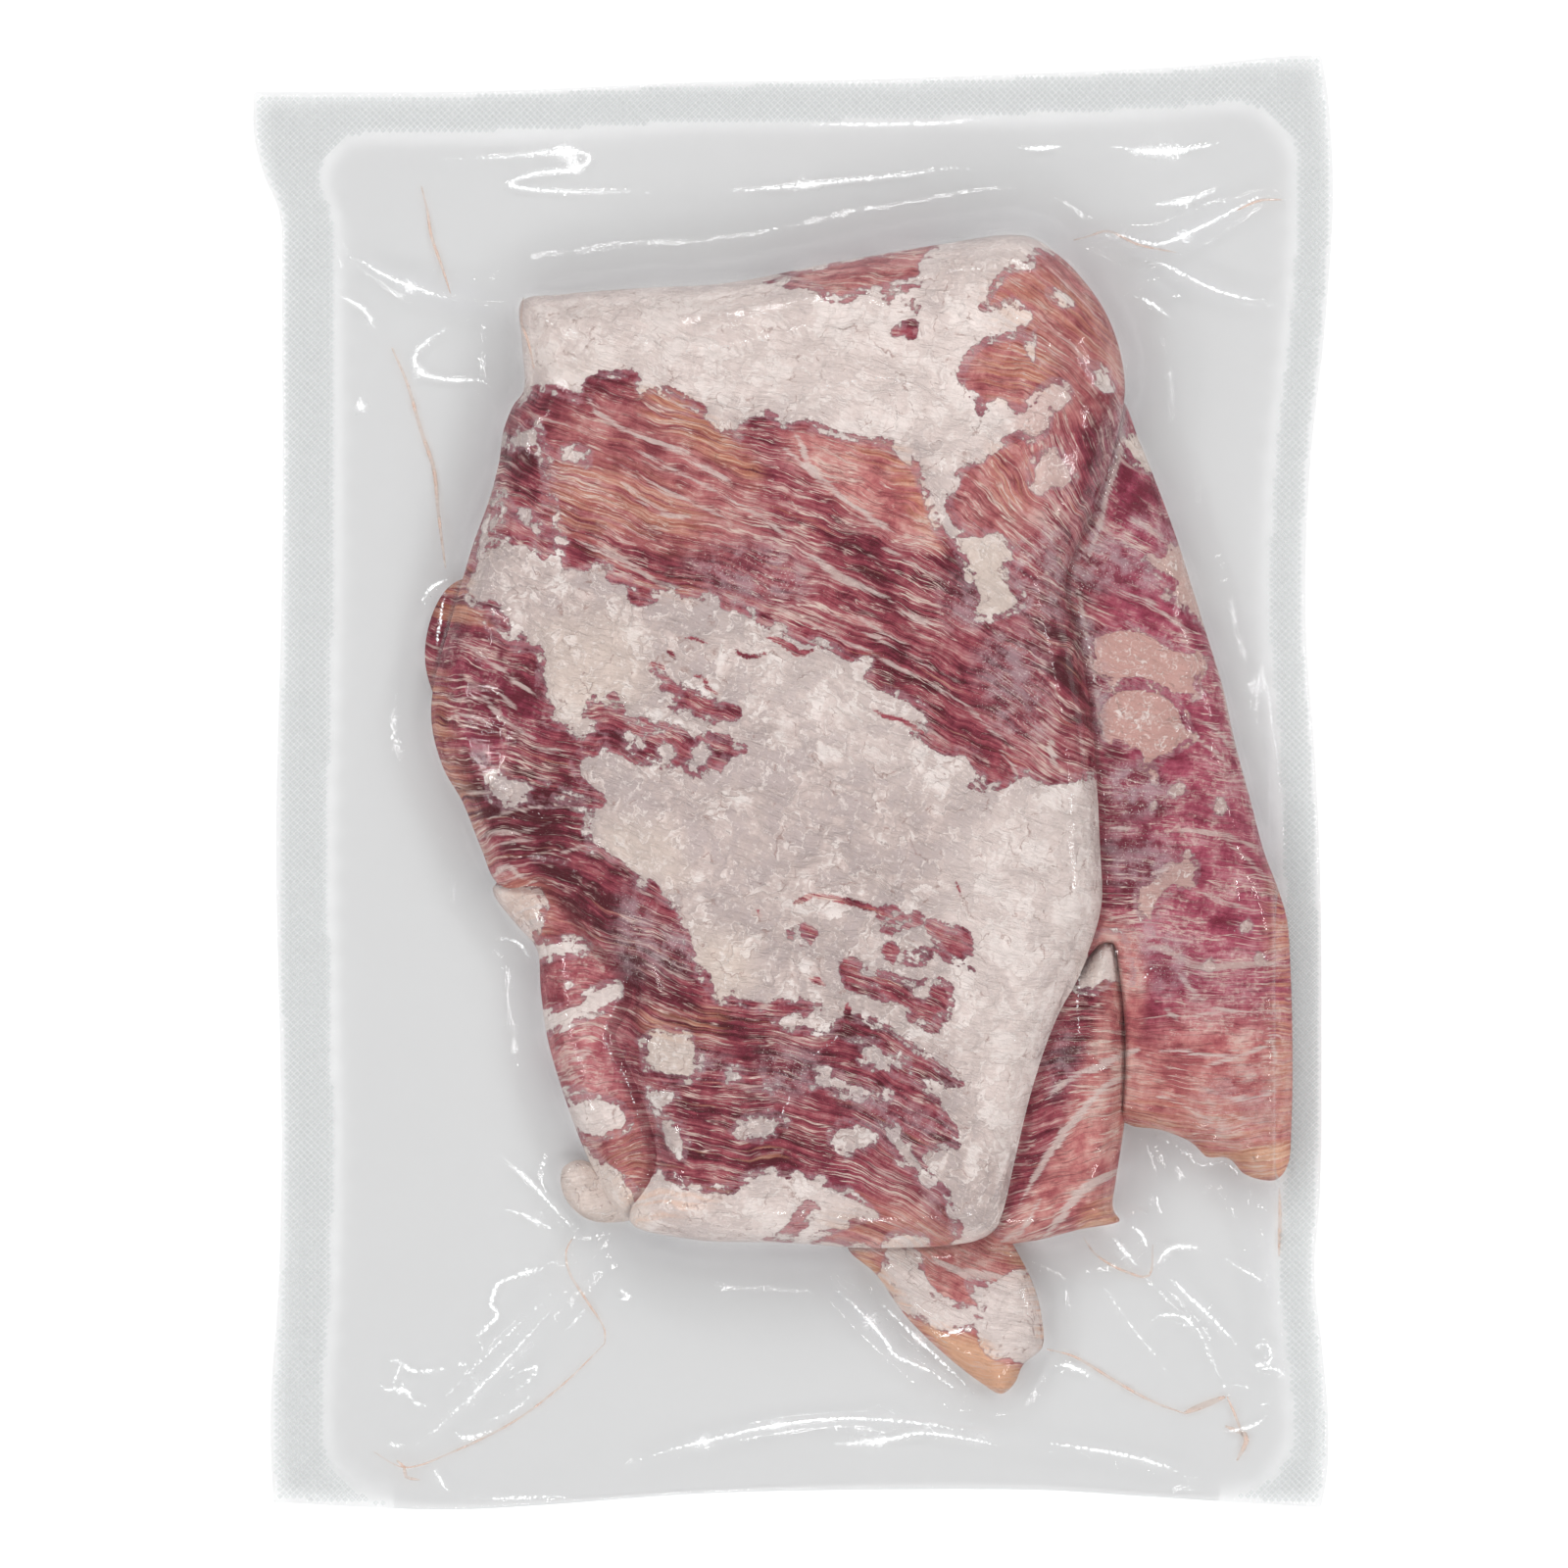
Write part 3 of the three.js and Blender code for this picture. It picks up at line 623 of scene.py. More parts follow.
# Fields of tone, each with soft borders: strength, softness in pixels and outline.
TONES = {
    "dark": [
        # The first two and the last but one, just right of the upper slab's edge, are a painted shadow of the
        # upper slab on the right slab; the rest are darker lean.
        (0.9, 10, [(1127, 780), (1180, 782), (1190, 835), (1150, 850), (1127, 850)]),
        (0.8, 12, [(1127, 850), (1190, 868), (1190, 900), (1150, 950), (1127, 930)]),
        (0.9, 10, [(1112, 985), (1125, 1000), (1108, 1070), (1082, 1110), (1070, 1140), (1078, 1080)]),
        (0.7, 12, [(1130, 462), (1180, 485), (1185, 530), (1140, 525)]),
        (0.6, 14, [(560, 985), (600, 990), (605, 1008), (556, 1030)]),
        (0.8, 12, [(640, 1140), (655, 1160), (664, 1190), (650, 1215), (640, 1190)]),
        (0.9, 14, [(1102, 402), (1142, 402), (1140, 452), (1126, 502), (1112, 535), (1098, 510),
            (1104, 450)]),
        (0.8, 20, [(1045, 640), (1088, 615), (1110, 690), (1112, 740), (1080, 720), (1062, 690)]),
        (0.9, 14, [(955, 556), (976, 562), (988, 590), (990, 622), (970, 606), (960, 580)]),
        (0.8, 20, [(820, 515), (850, 530), (900, 560), (960, 580), (975, 630), (930, 620), (860, 570)]),
        (0.7, 16, [(505, 450), (550, 462), (556, 500), (520, 510), (505, 490)]),
        (1.0, 26, [(448, 650), (540, 690), (560, 760), (600, 800), (600, 880), (520, 880), (480, 800)]),
        (0.9, 24, [(560, 890), (640, 895), (700, 950), (700, 1040), (640, 1030), (600, 960)]),
        (0.8, 14, [(1128, 755), (1150, 765), (1160, 800), (1150, 830), (1128, 840)]),
        (0.5, 30, [(700, 1040), (960, 1040), (975, 1240), (880, 1215), (700, 1190)]),
    ],
    "tan": [
        (2.0, 9, [(935, 1342), (968, 1356), (1002, 1366), (1019, 1384), (1042, 1396), (1040, 1425),
            (1010, 1424), (966, 1388)]),
        (1.5, 6, [(868, 1274), (884, 1276), (905, 1302), (935, 1340), (930, 1350), (893, 1308)]),
        (1.6, 6, [(1030, 1272), (1052, 1284), (1064, 1310), (1068, 1376), (1060, 1372), (1056, 1325),
            (1044, 1296), (1022, 1280)]),
        (1.6, 18, [(1155, 1144), (1200, 1158), (1250, 1168), (1314, 1160), (1316, 1212), (1250, 1198),
            (1214, 1182), (1155, 1166)]),
        (1.4, 8, [(1105, 1232), (1140, 1215), (1142, 1246), (1100, 1256)]),
        (1.0, 12, [(655, 398), (700, 408), (745, 450), (775, 480), (770, 500), (735, 478), (700, 452),
            (660, 425)]),
        (0.7, 18, [(570, 470), (640, 480), (720, 530), (700, 560), (640, 545), (575, 545)]),
        (0.8, 14, [(600, 552), (660, 590), (720, 606), (700, 612), (640, 588)]),
        (0.9, 10, [(893, 452), (922, 460), (940, 500), (962, 560), (950, 560), (925, 520), (900, 480),
            (860, 470)]),
        (0.9, 14, [(640, 1205), (700, 1212), (740, 1212), (700, 1236), (650, 1248)]),
        (0.8, 12, [(655, 1030), (700, 1034), (735, 1022), (738, 1048), (700, 1060), (660, 1050)]),
        (1.0, 16, [(436, 690), (452, 690), (462, 760), (482, 820), (500, 900), (490, 905), (468, 830),
            (440, 750)]),
        (1.0, 10, [(440, 600), (478, 580), (484, 615), (500, 640), (475, 635), (450, 640)]),
        (0.7, 30, [(1150, 1110), (1220, 1130), (1310, 1140), (1320, 1215), (1230, 1200), (1150, 1160)]),
        (0.9, 16, [(1298, 880), (1322, 950), (1322, 1000), (1312, 1180), (1298, 1100)]),
        (1.0, 14, [(890, 1300), (925, 1345), (965, 1365), (1000, 1385), (1045, 1395), (1025, 1430),
            (990, 1415), (930, 1360)]),
        (0.8, 8, [(1000, 1272), (1045, 1285), (1066, 1330), (1070, 1375), (1055, 1335), (1040, 1300)]),
        (0.6, 20, [(1005, 300), (1060, 280), (1120, 310), (1140, 380), (1080, 350), (1020, 340)]),
        (0.9, 14, [(1000, 372), (1040, 355), (1075, 370), (1060, 405), (1010, 405)]),
        (0.6, 14, [(1010, 455), (1050, 445), (1045, 520), (1020, 525)]),
        (0.6, 18, [(640, 1150), (660, 1190), (630, 1200), (618, 1175)]),
        (0.5, 14, [(505, 885), (560, 905), (560, 960), (520, 940)]),
        (0.6, 20, [(840, 1240), (960, 1240), (980, 1270), (860, 1275)]),
    ],
    "silver": [
        (0.35, 20, [(1225, 1100), (1306, 1085), (1310, 1150), (1215, 1150)]),
        (0.6, 14, [(1160, 955), (1200, 965), (1225, 1000), (1175, 1010)]),
        (0.9, 8, [(1132, 780), (1172, 790), (1178, 822), (1150, 835), (1132, 820)]),
        (0.7, 14, [(1130, 850), (1190, 856), (1200, 880), (1150, 905), (1130, 890)]),
        (0.8, 18, [(1000, 655), (1050, 650), (1065, 700), (1060, 750), (1020, 745), (1000, 700)]),
        (0.7, 18, [(705, 575), (790, 560), (830, 600), (800, 615), (730, 605)]),
        (0.7, 12, [(960, 590), (995, 605), (1000, 640), (965, 640)]),
        (0.7, 14, [(1030, 560), (1080, 540), (1085, 630), (1045, 635)]),
        (0.8, 14, [(1085, 565), (1145, 550), (1185, 600), (1130, 600), (1095, 620)]),
        (0.9, 8, [(1142, 402), (1150, 440), (1128, 500), (1118, 560), (1100, 572), (1110, 520),
            (1135, 460)]),
        (0.9, 8, [(1100, 610), (1118, 650), (1130, 700), (1124, 760), (1112, 700), (1100, 650)]),
        (0.7, 14, [(640, 905), (665, 920), (660, 985), (640, 1000), (628, 950)]),
        (0.8, 14, [(655, 955), (700, 950), (705, 985), (665, 985)]),
        (0.7, 16, [(780, 1070), (835, 1075), (820, 1115), (780, 1110)]),
        (0.7, 12, [(710, 1070), (745, 1080), (735, 1095), (712, 1090)]),
        (0.7, 16, [(860, 1110), (940, 1130), (960, 1160), (900, 1150)]),
        (0.6, 12, [(1062, 1060), (1092, 1048), (1098, 1085), (1072, 1115)]),
        (0.8, 12, [(1140, 795), (1185, 795), (1190, 825), (1150, 830)]),
        (0.6, 20, [(1150, 950), (1200, 955), (1215, 1000), (1160, 1000)]),
        (0.5, 16, [(1155, 525), (1200, 540), (1195, 560), (1150, 550)]),
        (0.7, 12, [(945, 1205), (962, 1225), (970, 1255), (950, 1240)]),
    ],
    "salmon": [
        (0.5, 26, [(575, 420), (700, 420), (770, 500), (760, 560), (680, 560), (580, 500)]),
        (0.9, 14, [(800, 445), (900, 452), (945, 500), (960, 560), (900, 540), (840, 500)]),
        (0.5, 12, [(500, 900), (560, 905), (612, 965), (638, 1010), (618, 1055), (640, 1110), (662, 1190),
            (640, 1250), (560, 1200), (535, 1000)]),
        (1.0, 10, [(1112, 940), (1160, 955), (1162, 1110), (1150, 1250), (1050, 1275), (1014, 1275),
            (1062, 1200), (1092, 1130), (1114, 1060), (1124, 1000)]),
        (1.0, 36, [(1150, 1060), (1330, 1060), (1330, 1210), (1140, 1170)]),
        (1.0, 10, [(860, 1270), (1050, 1268), (1075, 1400), (1020, 1440)]),
        (0.7, 14, [(790, 240), (965, 240), (940, 318), (820, 300)]),
        (0.7, 16, [(990, 250), (1130, 260), (1155, 400), (1060, 440), (980, 400)]),
        (0.6, 16, [(760, 1255), (830, 1215), (980, 1240), (985, 1285), (780, 1285)]),
        (0.5, 14, [(965, 450), (1060, 440), (1050, 550), (965, 540)]),
    ],
    "magenta": [
        (1.0, 30, [(1130, 420), (1190, 490), (1265, 740), (1330, 1000), (1330, 1100), (1160, 1085),
            (1150, 1000), (1125, 800), (1130, 600)]),
        (1.0, 14, [(540, 970), (600, 960), (640, 1000), (620, 1050), (640, 1110), (570, 1120),
            (540, 1040)]),
        (0.6, 20, [(448, 630), (500, 660), (560, 740), (500, 780), (450, 720)]),
        (0.6, 20, [(760, 1195), (880, 1200), (930, 1250), (840, 1220)]),
    ],
    "blush": [
        (0.45, 20, [(1165, 790), (1262, 800), (1302, 930), (1302, 1000), (1225, 1000), (1165, 960)]),
        (1.0, 10, [(1112, 640), (1150, 632), (1230, 660), (1230, 710), (1150, 705), (1112, 690)]),
        (1.0, 10, [(1112, 700), (1160, 690), (1215, 720), (1220, 770), (1180, 805), (1110, 750)]),
        (0.8, 12, [(1150, 900), (1205, 865), (1225, 890), (1185, 960), (1160, 945)]),
        (0.7, 14, [(1160, 560), (1215, 545), (1240, 640), (1190, 620)]),
        (0.5, 14, [(1045, 395), (1095, 390), (1100, 510), (1045, 500)]),
    ],
    "pale": [
        (1.0, 26, [(535, 300), (760, 285), (960, 315), (1130, 300), (1110, 380), (980, 450), (880, 450),
            (760, 425), (540, 400)]),
        (0.9, 30, [(970, 860), (1100, 800), (1140, 900), (1090, 1120), (1030, 1180), (980, 1080)]),
        (0.5, 30, [(740, 640), (960, 720), (1090, 800), (980, 820), (820, 760)]),
        (0.7, 20, [(640, 1190), (840, 1200), (840, 1265), (680, 1262)]),
        (1.0, 12, [(535, 950), (640, 985), (645, 1060), (535, 1060)]),
        (1.0, 12, [(570, 1110), (650, 1110), (650, 1165), (580, 1165)]),
    ],
    "cream": [
        (1.0, 6, [(560, 1170), (640, 1170), (660, 1255), (560, 1260)]),
        (0.9, 10, [(1140, 430), (1185, 440), (1240, 600), (1240, 640), (1190, 600)]),
        (0.8, 30, [(555, 640), (640, 640), (660, 700), (600, 740), (560, 720)]),
        (0.9, 20, [(690, 950), (760, 960), (770, 1000), (730, 1020)]),
        (0.8, 20, [(610, 850), (680, 840), (700, 900), (640, 890)]),
        (0.8, 12, [(660, 1050), (715, 1055), (712, 1100), (662, 1095)]),
        (1.0, 12, [(980, 545), (1040, 560), (1040, 625), (990, 630)]),
        (0.9, 12, [(1108, 965), (1145, 965), (1140, 1005), (1110, 1005)]),
        (0.6, 20, [(560, 370), (640, 375), (600, 395)]),
    ],
}

# The way the meat's fibres run: a place in the photo, and degrees clockwise from level there.
GRAIN = [
    (520, 480, 35), (600, 430, 33), (700, 450, 38), (800, 560, 33), (900, 620, 32), (1000, 720, 36),
    (1080, 700, 60), (860, 480, 38), (900, 520, 42), (1080, 320, 60), (1020, 390, -30), (1120, 460, 88),
    (1070, 520, 60), (1010, 500, 70), (850, 280, -8), (900, 300, -6), (480, 680, 30), (520, 720, 32),
    (560, 770, 15), (480, 760, 5), (540, 840, -6), (520, 870, -8), (600, 910, 50), (680, 750, 22),
    (660, 1000, 40), (740, 1060, 2), (720, 1150, -8), (760, 1180, -22), (840, 1060, 10), (920, 1070, 36),
    (900, 1180, 22), (940, 1230, 30), (830, 1190, 6), (560, 1000, -18), (580, 1080, -8), (620, 1170, -50),
    (1120, 1030, 5), (1100, 1160, -45), (1070, 1230, -50), (1180, 480, 30), (1170, 610, 25),
    (1230, 740, 25), (1200, 840, 4), (1260, 900, 18), (1250, 980, 2), (1240, 1080, -10),
    (1280, 1120, -25), (1200, 1130, 8), (960, 1300, 32), (920, 1290, 25), (900, 1260, -20),
    (800, 1250, -35),
]


FAT_REACH = 12         # depths into fat are worked out this far from its border
LINE_REACH = 4


def meat_fields(plan):
    """Signed depths into fat, drawn lines of fat and slits of lean in millimetres, and tones."""
    fat, below = plan.field(-FAT_REACH), plan.field(-FAT_REACH)
    line, slit = plan.field(-LINE_REACH), plan.field(-LINE_REACH)
    for layer, outlines in ((fat, FAT_AND_LEAN), (below, [("fat", ring) for ring in FAT_BELOW])):
        for kind, outline in outlines:
            ring = smooth_line(at_pixels(outline), closed=True, steps=3)
            depth = plan.depth(ring, FAT_REACH)
            layer[:] = np.maximum(layer, depth) if kind == "fat" else np.minimum(layer, -depth)
    for x, y, radius in FAT_SPOTS:
        (cx, cy), r = at_pixels([(x, y)])[0], radius / PIXELS_PER_MM
        spot = r - np.hypot(plan.x - cx, plan.y - cy)
        fat, below = np.maximum(fat, spot), np.maximum(below, spot)
    for kind, width, lines in STREAKS:
        drawn = line if kind == "fat" else slit
        for points in lines:
            path = smooth_line(at_pixels(points), steps=4)
            w = plan.window(path, LINE_REACH)
            away, along = near_line(path, plan.x[w], plan.y[w])
            taper = np.sqrt(np.sin(math.pi * np.clip(along, 0.03, 0.97)))
            drawn[w] = np.maximum(drawn[w], 0.5 * width / PIXELS_PER_MM * taper - away)
    fields = {"fat": fat, "below": below, "line": line, "slit": slit}
    for tone, patches in TONES.items():
        fields[tone] = plan.field()
        for strength, softness, outline in patches:
            ring = smooth_line(at_pixels(outline), closed=True, steps=3)
            soft = softness / PIXELS_PER_MM
            share = strength * smoothstep(-soft, soft, plan.depth(ring, soft + 0.5))
            fields[tone] = np.maximum(fields[tone], share)
    return fields


def grain_map(plan):
    """Two smooth coordinates in millimetres, along the fibres and across them."""
    places = at_pixels([(x, y) for x, y, _ in GRAIN])
    angles = np.radians([-a for _, _, a in GRAIN])
    step = 4
    x, y = plan.x[::step, ::step], plan.y[::step, ::step]
    weight = [1 / (((x - px) ** 2 + (y - py) ** 2) ** 1.5 + 20) for px, py in places]
    angle = sum(w * a for w, a in zip(weight, angles)) / sum(weight)
    along = potential(np.cos(angle), np.sin(angle), step * plan.pitch)
    across = potential(-np.sin(angle), np.cos(angle), step * plan.pitch)
    coarse = Plan()
    coarse.pitch = step * plan.pitch
    return [coarse.sample(field, plan.x, plan.y) for field in (along, across)]


def potential(gx, gy, pitch):
    """The surface whose slopes come nearest to gx and gy, by a cosine-transform Poisson solve."""
    rows, columns = gx.shape
    divergence = np.gradient(gx, pitch, axis=1) + np.gradient(gy, pitch, axis=0)
    divergence[:, 0] += gx[:, 0] / pitch
    divergence[:, -1] -= gx[:, -1] / pitch
    divergence[0, :] += gy[0, :] / pitch
    divergence[-1, :] -= gy[-1, :] / pitch
    mirrored = np.block([[divergence, divergence[:, ::-1]], [divergence[::-1], divergence[::-1, ::-1]]])
    ky = 2 * np.cos(2 * math.pi * np.fft.fftfreq(2 * rows))[:, None] - 2
    kx = 2 * np.cos(2 * math.pi * np.fft.fftfreq(2 * columns))[None, :] - 2
    scale = (kx + ky) / pitch**2
    scale[0, 0] = 1
    spectrum = np.fft.fft2(mirrored) / scale
    spectrum[0, 0] = 0
    return np.real(np.fft.ifft2(spectrum))[:rows, :columns]


# ---- the film's folds ----------------------------------------------------------------------------
# Webs that stand from the slabs to the pouch's corners: heights at either end and half width in mm,
# and the line in photo pixels.
WEBS = [
    (3.5, 1, 7, [(628, 1250), (560, 1330), (480, 1425), (400, 1500)]),
    (5, 1.5, 5, [(1098, 248), (1180, 250), (1240, 225), (1292, 202)]),
    (4, 1, 5, [(1150, 296), (1200, 285), (1250, 298), (1310, 312)]),
    (4, 1.5, 5, [(1270, 1200), (1290, 1290), (1300, 1390)]),
    (3, 1, 5, [(1170, 1280), (1215, 1330), (1260, 1390)]),
    (5, 1, 5, [(508, 312), (420, 290), (345, 256)]),
    (3, 2, 4, [(845, 1300), (900, 1362), (980, 1430)]),
    (1, 1.6, 4, [(655, 1495), (760, 1462), (900, 1446)]),
    (1.6, 1, 4, [(900, 1446), (1040, 1468), (1210, 1505)]),
]
# Creases, as thin ridges that catch the light, and where the film carries a painted highlight: height and
# half width in mm, and the line.
CREASES = [
    (0.9, 1.6, [(418, 155), (445, 162), (520, 160), (590, 155), (602, 162), (590, 172), (545, 178),
        (520, 188), (555, 195), (640, 196), (700, 198)]),
    (0.7, 1.8, [(700, 198), (780, 193), (850, 186), (930, 178), (985, 172), (1010, 185)]),
    (0.6, 1.4, [(780, 125), (870, 127), (970, 125), (1050, 113)]),
    (0.7, 1.5, [(1035, 150), (1060, 152), (1090, 149)]),
    (0.8, 1.6, [(1120, 145), (1155, 153), (1190, 155), (1265, 142)]),
    (1.0, 1.8, [(1100, 245), (1140, 240), (1180, 250), (1240, 225), (1290, 200), (1315, 205)]),
    (0.7, 1.4, [(1170, 210), (1210, 205), (1250, 190)]),
    (0.9, 1.6, [(1150, 288), (1165, 275), (1180, 268), (1215, 285), (1250, 300), (1310, 310)]),
    (0.7, 1.4, [(1150, 300), (1175, 310), (1200, 330)]),
    (0.9, 1.6, [(345, 255), (370, 268), (400, 285), (440, 300), (480, 310)]),
    (1.1, 1.7, [(478, 333), (455, 338), (440, 345), (423, 365), (430, 380), (460, 388), (495, 390),
        (508, 420)]),
    (0.8, 1.5, [(343, 300), (360, 308), (375, 320), (385, 340)]),
    (0.6, 2.0, [(366, 402), (372, 425)]),
    (0.8, 1.5, [(500, 1170), (540, 1205), (590, 1260)]),
    (0.5, 1.2, [(508, 1231), (535, 1240), (555, 1250), (574, 1259)]),
    (0.8, 1.3, [(576, 1291), (553, 1294), (529, 1301), (508, 1311), (502, 1333), (508, 1340), (498, 1354),
        (487, 1364), (496, 1376), (497, 1387)]),
    (0.6, 1.1, [(388, 1390), (405, 1388), (422, 1399), (463, 1395)]),
    (0.6, 1.1, [(384, 1402), (391, 1416), (415, 1419), (422, 1430), (443, 1437)]),
    (0.5, 1.0, [(412, 1382), (406, 1400), (398, 1416)]),
    (0.5, 1.0, [(463, 1387), (474, 1392), (482, 1388)]),
    (0.5, 1.0, [(586, 1311), (540, 1362), (498, 1407), (455, 1449), (417, 1487)]),
    (0.35, 1.0, [(580, 1304), (491, 1388), (429, 1454)]),
    (0.45, 0.9, [(508, 1420), (515, 1409), (532, 1399), (548, 1395), (539, 1409), (522, 1420),
        (508, 1420)]),
    (0.45, 0.9, [(548, 1399), (546, 1416), (532, 1433), (512, 1445), (487, 1450)]),
    (0.6, 1.0, [(463, 1454), (467, 1464), (484, 1466), (508, 1457)]),
    (0.45, 0.9, [(568, 1364), (584, 1351), (596, 1333), (594, 1321)]),
    (0.45, 0.9, [(474, 1438), (480, 1430), (487, 1421)]),
    (0.45, 0.9, [(393, 1471), (404, 1475), (415, 1476)]),
    (0.6, 1.0, [(625, 1323), (642, 1324), (635, 1317), (629, 1311)]),
    (0.6, 1.0, [(436, 1502), (443, 1500), (453, 1516), (463, 1523)]),
    (0.5, 1.0, [(463, 1530), (532, 1528), (594, 1526)]),
    (1.0, 1.8, [(600, 1525), (640, 1495), (720, 1470), (820, 1450), (900, 1448), (1040, 1468)]),
    (1.0, 1.8, [(1055, 1470), (1150, 1485), (1200, 1500), (1230, 1515)]),
    (0.7, 1.5, [(820, 1474), (900, 1470), (940, 1462), (1040, 1478)]),
    (1.1, 1.6, [(830, 1300), (870, 1330), (905, 1370), (910, 1380), (950, 1400), (1000, 1435)]),
    (0.7, 1.4, [(880, 1310), (920, 1350), (960, 1388), (1005, 1432)]),
    (0.8, 1.4, [(1130, 1255), (1150, 1280), (1165, 1296)]),
    (0.8, 1.4, [(1148, 1246), (1165, 1260), (1172, 1278)]),
    (0.9, 1.3, [(1176, 1300), (1184, 1284), (1196, 1273), (1214, 1272), (1236, 1275)]),
    (0.45, 1.0, [(1236, 1275), (1276, 1300), (1308, 1320)]),
    (0.9, 1.3, [(1178, 1300), (1196, 1306), (1208, 1318), (1240, 1348), (1268, 1380)]),
    (0.35, 0.9, [(1180, 1306), (1216, 1346), (1248, 1412), (1270, 1464)]),
    (0.35, 0.9, [(1100, 1276), (1128, 1316), (1160, 1360), (1216, 1432)]),
    (0.6, 1.0, [(1272, 1376), (1292, 1372), (1296, 1388), (1280, 1392), (1272, 1378)]),
    (0.5, 1.0, [(1280, 1398), (1300, 1396), (1318, 1408)]),
    (0.4, 0.9, [(1252, 1412), (1268, 1414), (1284, 1418)]),
    (0.4, 0.9, [(1282, 1432), (1296, 1433), (1308, 1436)]),
    (0.35, 0.9, [(1140, 1240), (1168, 1236), (1170, 1252)]),
    (0.7, 1.4, [(1070, 1395), (1090, 1393), (1120, 1410)]),
    (0.6, 1.4, [(950, 1366), (975, 1357), (995, 1350)]),
    (0.6, 1.2, [(1300, 1440), (1275, 1456), (1240, 1462)]),
    (0.6, 1.0, [(1162, 1354), (1188, 1342), (1208, 1344), (1216, 1352), (1192, 1348)]),
    (0.4, 0.9, [(1155, 1150), (1175, 1158), (1205, 1172), (1222, 1188), (1250, 1186), (1270, 1204),
        (1300, 1212)]),
    (0.7, 1.3, [(455, 598), (450, 630), (445, 668)]),
    (0.8, 1.4, [(462, 590), (440, 600), (428, 618)]),
    (0.6, 1.3, [(500, 960), (520, 958), (535, 968), (545, 985)]),
]
# Creases that run over the meat.
MEAT_CREASES = [
    (0.35, 0.9, [(662, 1185), (655, 1150), (640, 1100), (618, 1058), (640, 1000), (645, 960)]),
    (0.3, 0.8, [(1127, 930), (1107, 962), (1100, 1000), (1100, 1050), (1115, 1085), (1135, 1108)]),
    (0.3, 0.8, [(805, 1120), (825, 1080), (855, 1055), (868, 1036)]),
    (0.3, 0.8, [(790, 1150), (800, 1130), (812, 1105)]),
    (0.3, 0.8, [(1152, 1022), (1168, 995), (1185, 970)]),
    (0.25, 0.8, [(1256, 872), (1258, 900), (1262, 930), (1250, 965), (1225, 975)]),
    (0.25, 0.7, [(1015, 395), (1028, 355), (1040, 315)]),
    (0.25, 0.7, [(1040, 420), (1055, 385), (1068, 350)]),
    (0.3, 0.8, [(785, 400), (850, 396), (900, 388), (945, 400), (985, 405)]),
    (0.25, 0.8, [(640, 372), (700, 362), (780, 350), (850, 328)]),
    (0.3, 0.9, [(1140, 402), (1146, 440), (1128, 490), (1118, 540)]),
    (0.3, 0.9, [(1088, 575), (1098, 620), (1112, 670), (1120, 740)]),
]
# Lines of thin pink fluid between the films: width in mm, and the line.
FLUID = [
    (0.9, [(400, 355), (415, 390), (430, 440), (443, 480), (447, 520), (455, 580)]),
    (0.7, [(430, 190), (436, 215), (440, 240), (452, 275), (460, 300)]),
    (0.6, [(1095, 246), (1110, 242), (1130, 236), (1160, 250), (1200, 258)]),
    (0.6, [(1262, 215), (1285, 205), (1308, 204)]),
    (0.6, [(584, 1264), (578, 1275), (580, 1295), (598, 1326), (617, 1357), (617, 1371)]),
    (0.5, [(617, 1371), (574, 1413), (525, 1450), (463, 1481), (413, 1497), (381, 1481)]),
    (0.8, [(405, 1490), (413, 1497), (414, 1506), (429, 1510)]),
    (0.7, [(1068, 1376), (1096, 1384), (1136, 1408), (1176, 1430), (1208, 1442)]),
    (1.5, [(1208, 1442), (1230, 1433), (1250, 1425)]),
    (1.2, [(1250, 1455), (1272, 1466), (1262, 1490)]),
    (0.6, [(1252, 1425), (1262, 1448), (1268, 1466)]),
    (0.8, [(1305, 1212), (1306, 1240), (1305, 1282)]),
    (0.6, [(1105, 1262), (1118, 1280), (1150, 1298), (1172, 1302), (1176, 1270)]),
    (0.6, [(535, 305), (533, 330), (540, 350), (546, 378)]),
]


# ---- meshes --------------------------------------------------------------------------------------
def object_from(name, points, faces):
    """A smooth object from points in millimetres."""
    mesh = bpy.data.meshes.new(name)
    mesh.from_pydata((np.asarray(points) * MM).tolist(), [], np.asarray(faces).tolist())
    mesh.update()
    piece = bpy.data.objects.new(name, mesh)
    bpy.context.scene.collection.objects.link(piece)
    mesh.shade_smooth()
    return piece


def outline_length(outline):
    """The length round a closed outline."""
    return np.linalg.norm(np.roll(outline, -1, axis=0) - outline, axis=1).sum()


def inset_outline(line, gap, spacing=1.0):
    """An outline at even spacing, moved in by a gap."""
    ring = even_points(line, int(outline_length(line) / spacing), closed=True)
    step = np.roll(ring, -1, axis=0) - np.roll(ring, 1, axis=0)
    inward = np.stack([-step[:, 1], step[:, 0]], axis=1) / np.linalg.norm(step, axis=1)[:, None]
    x, y = ring[:, 0], ring[:, 1]
    area = np.sum(x * np.roll(y, -1) - np.roll(x, -1) * y)
    return ring + inward * gap * np.sign(area)


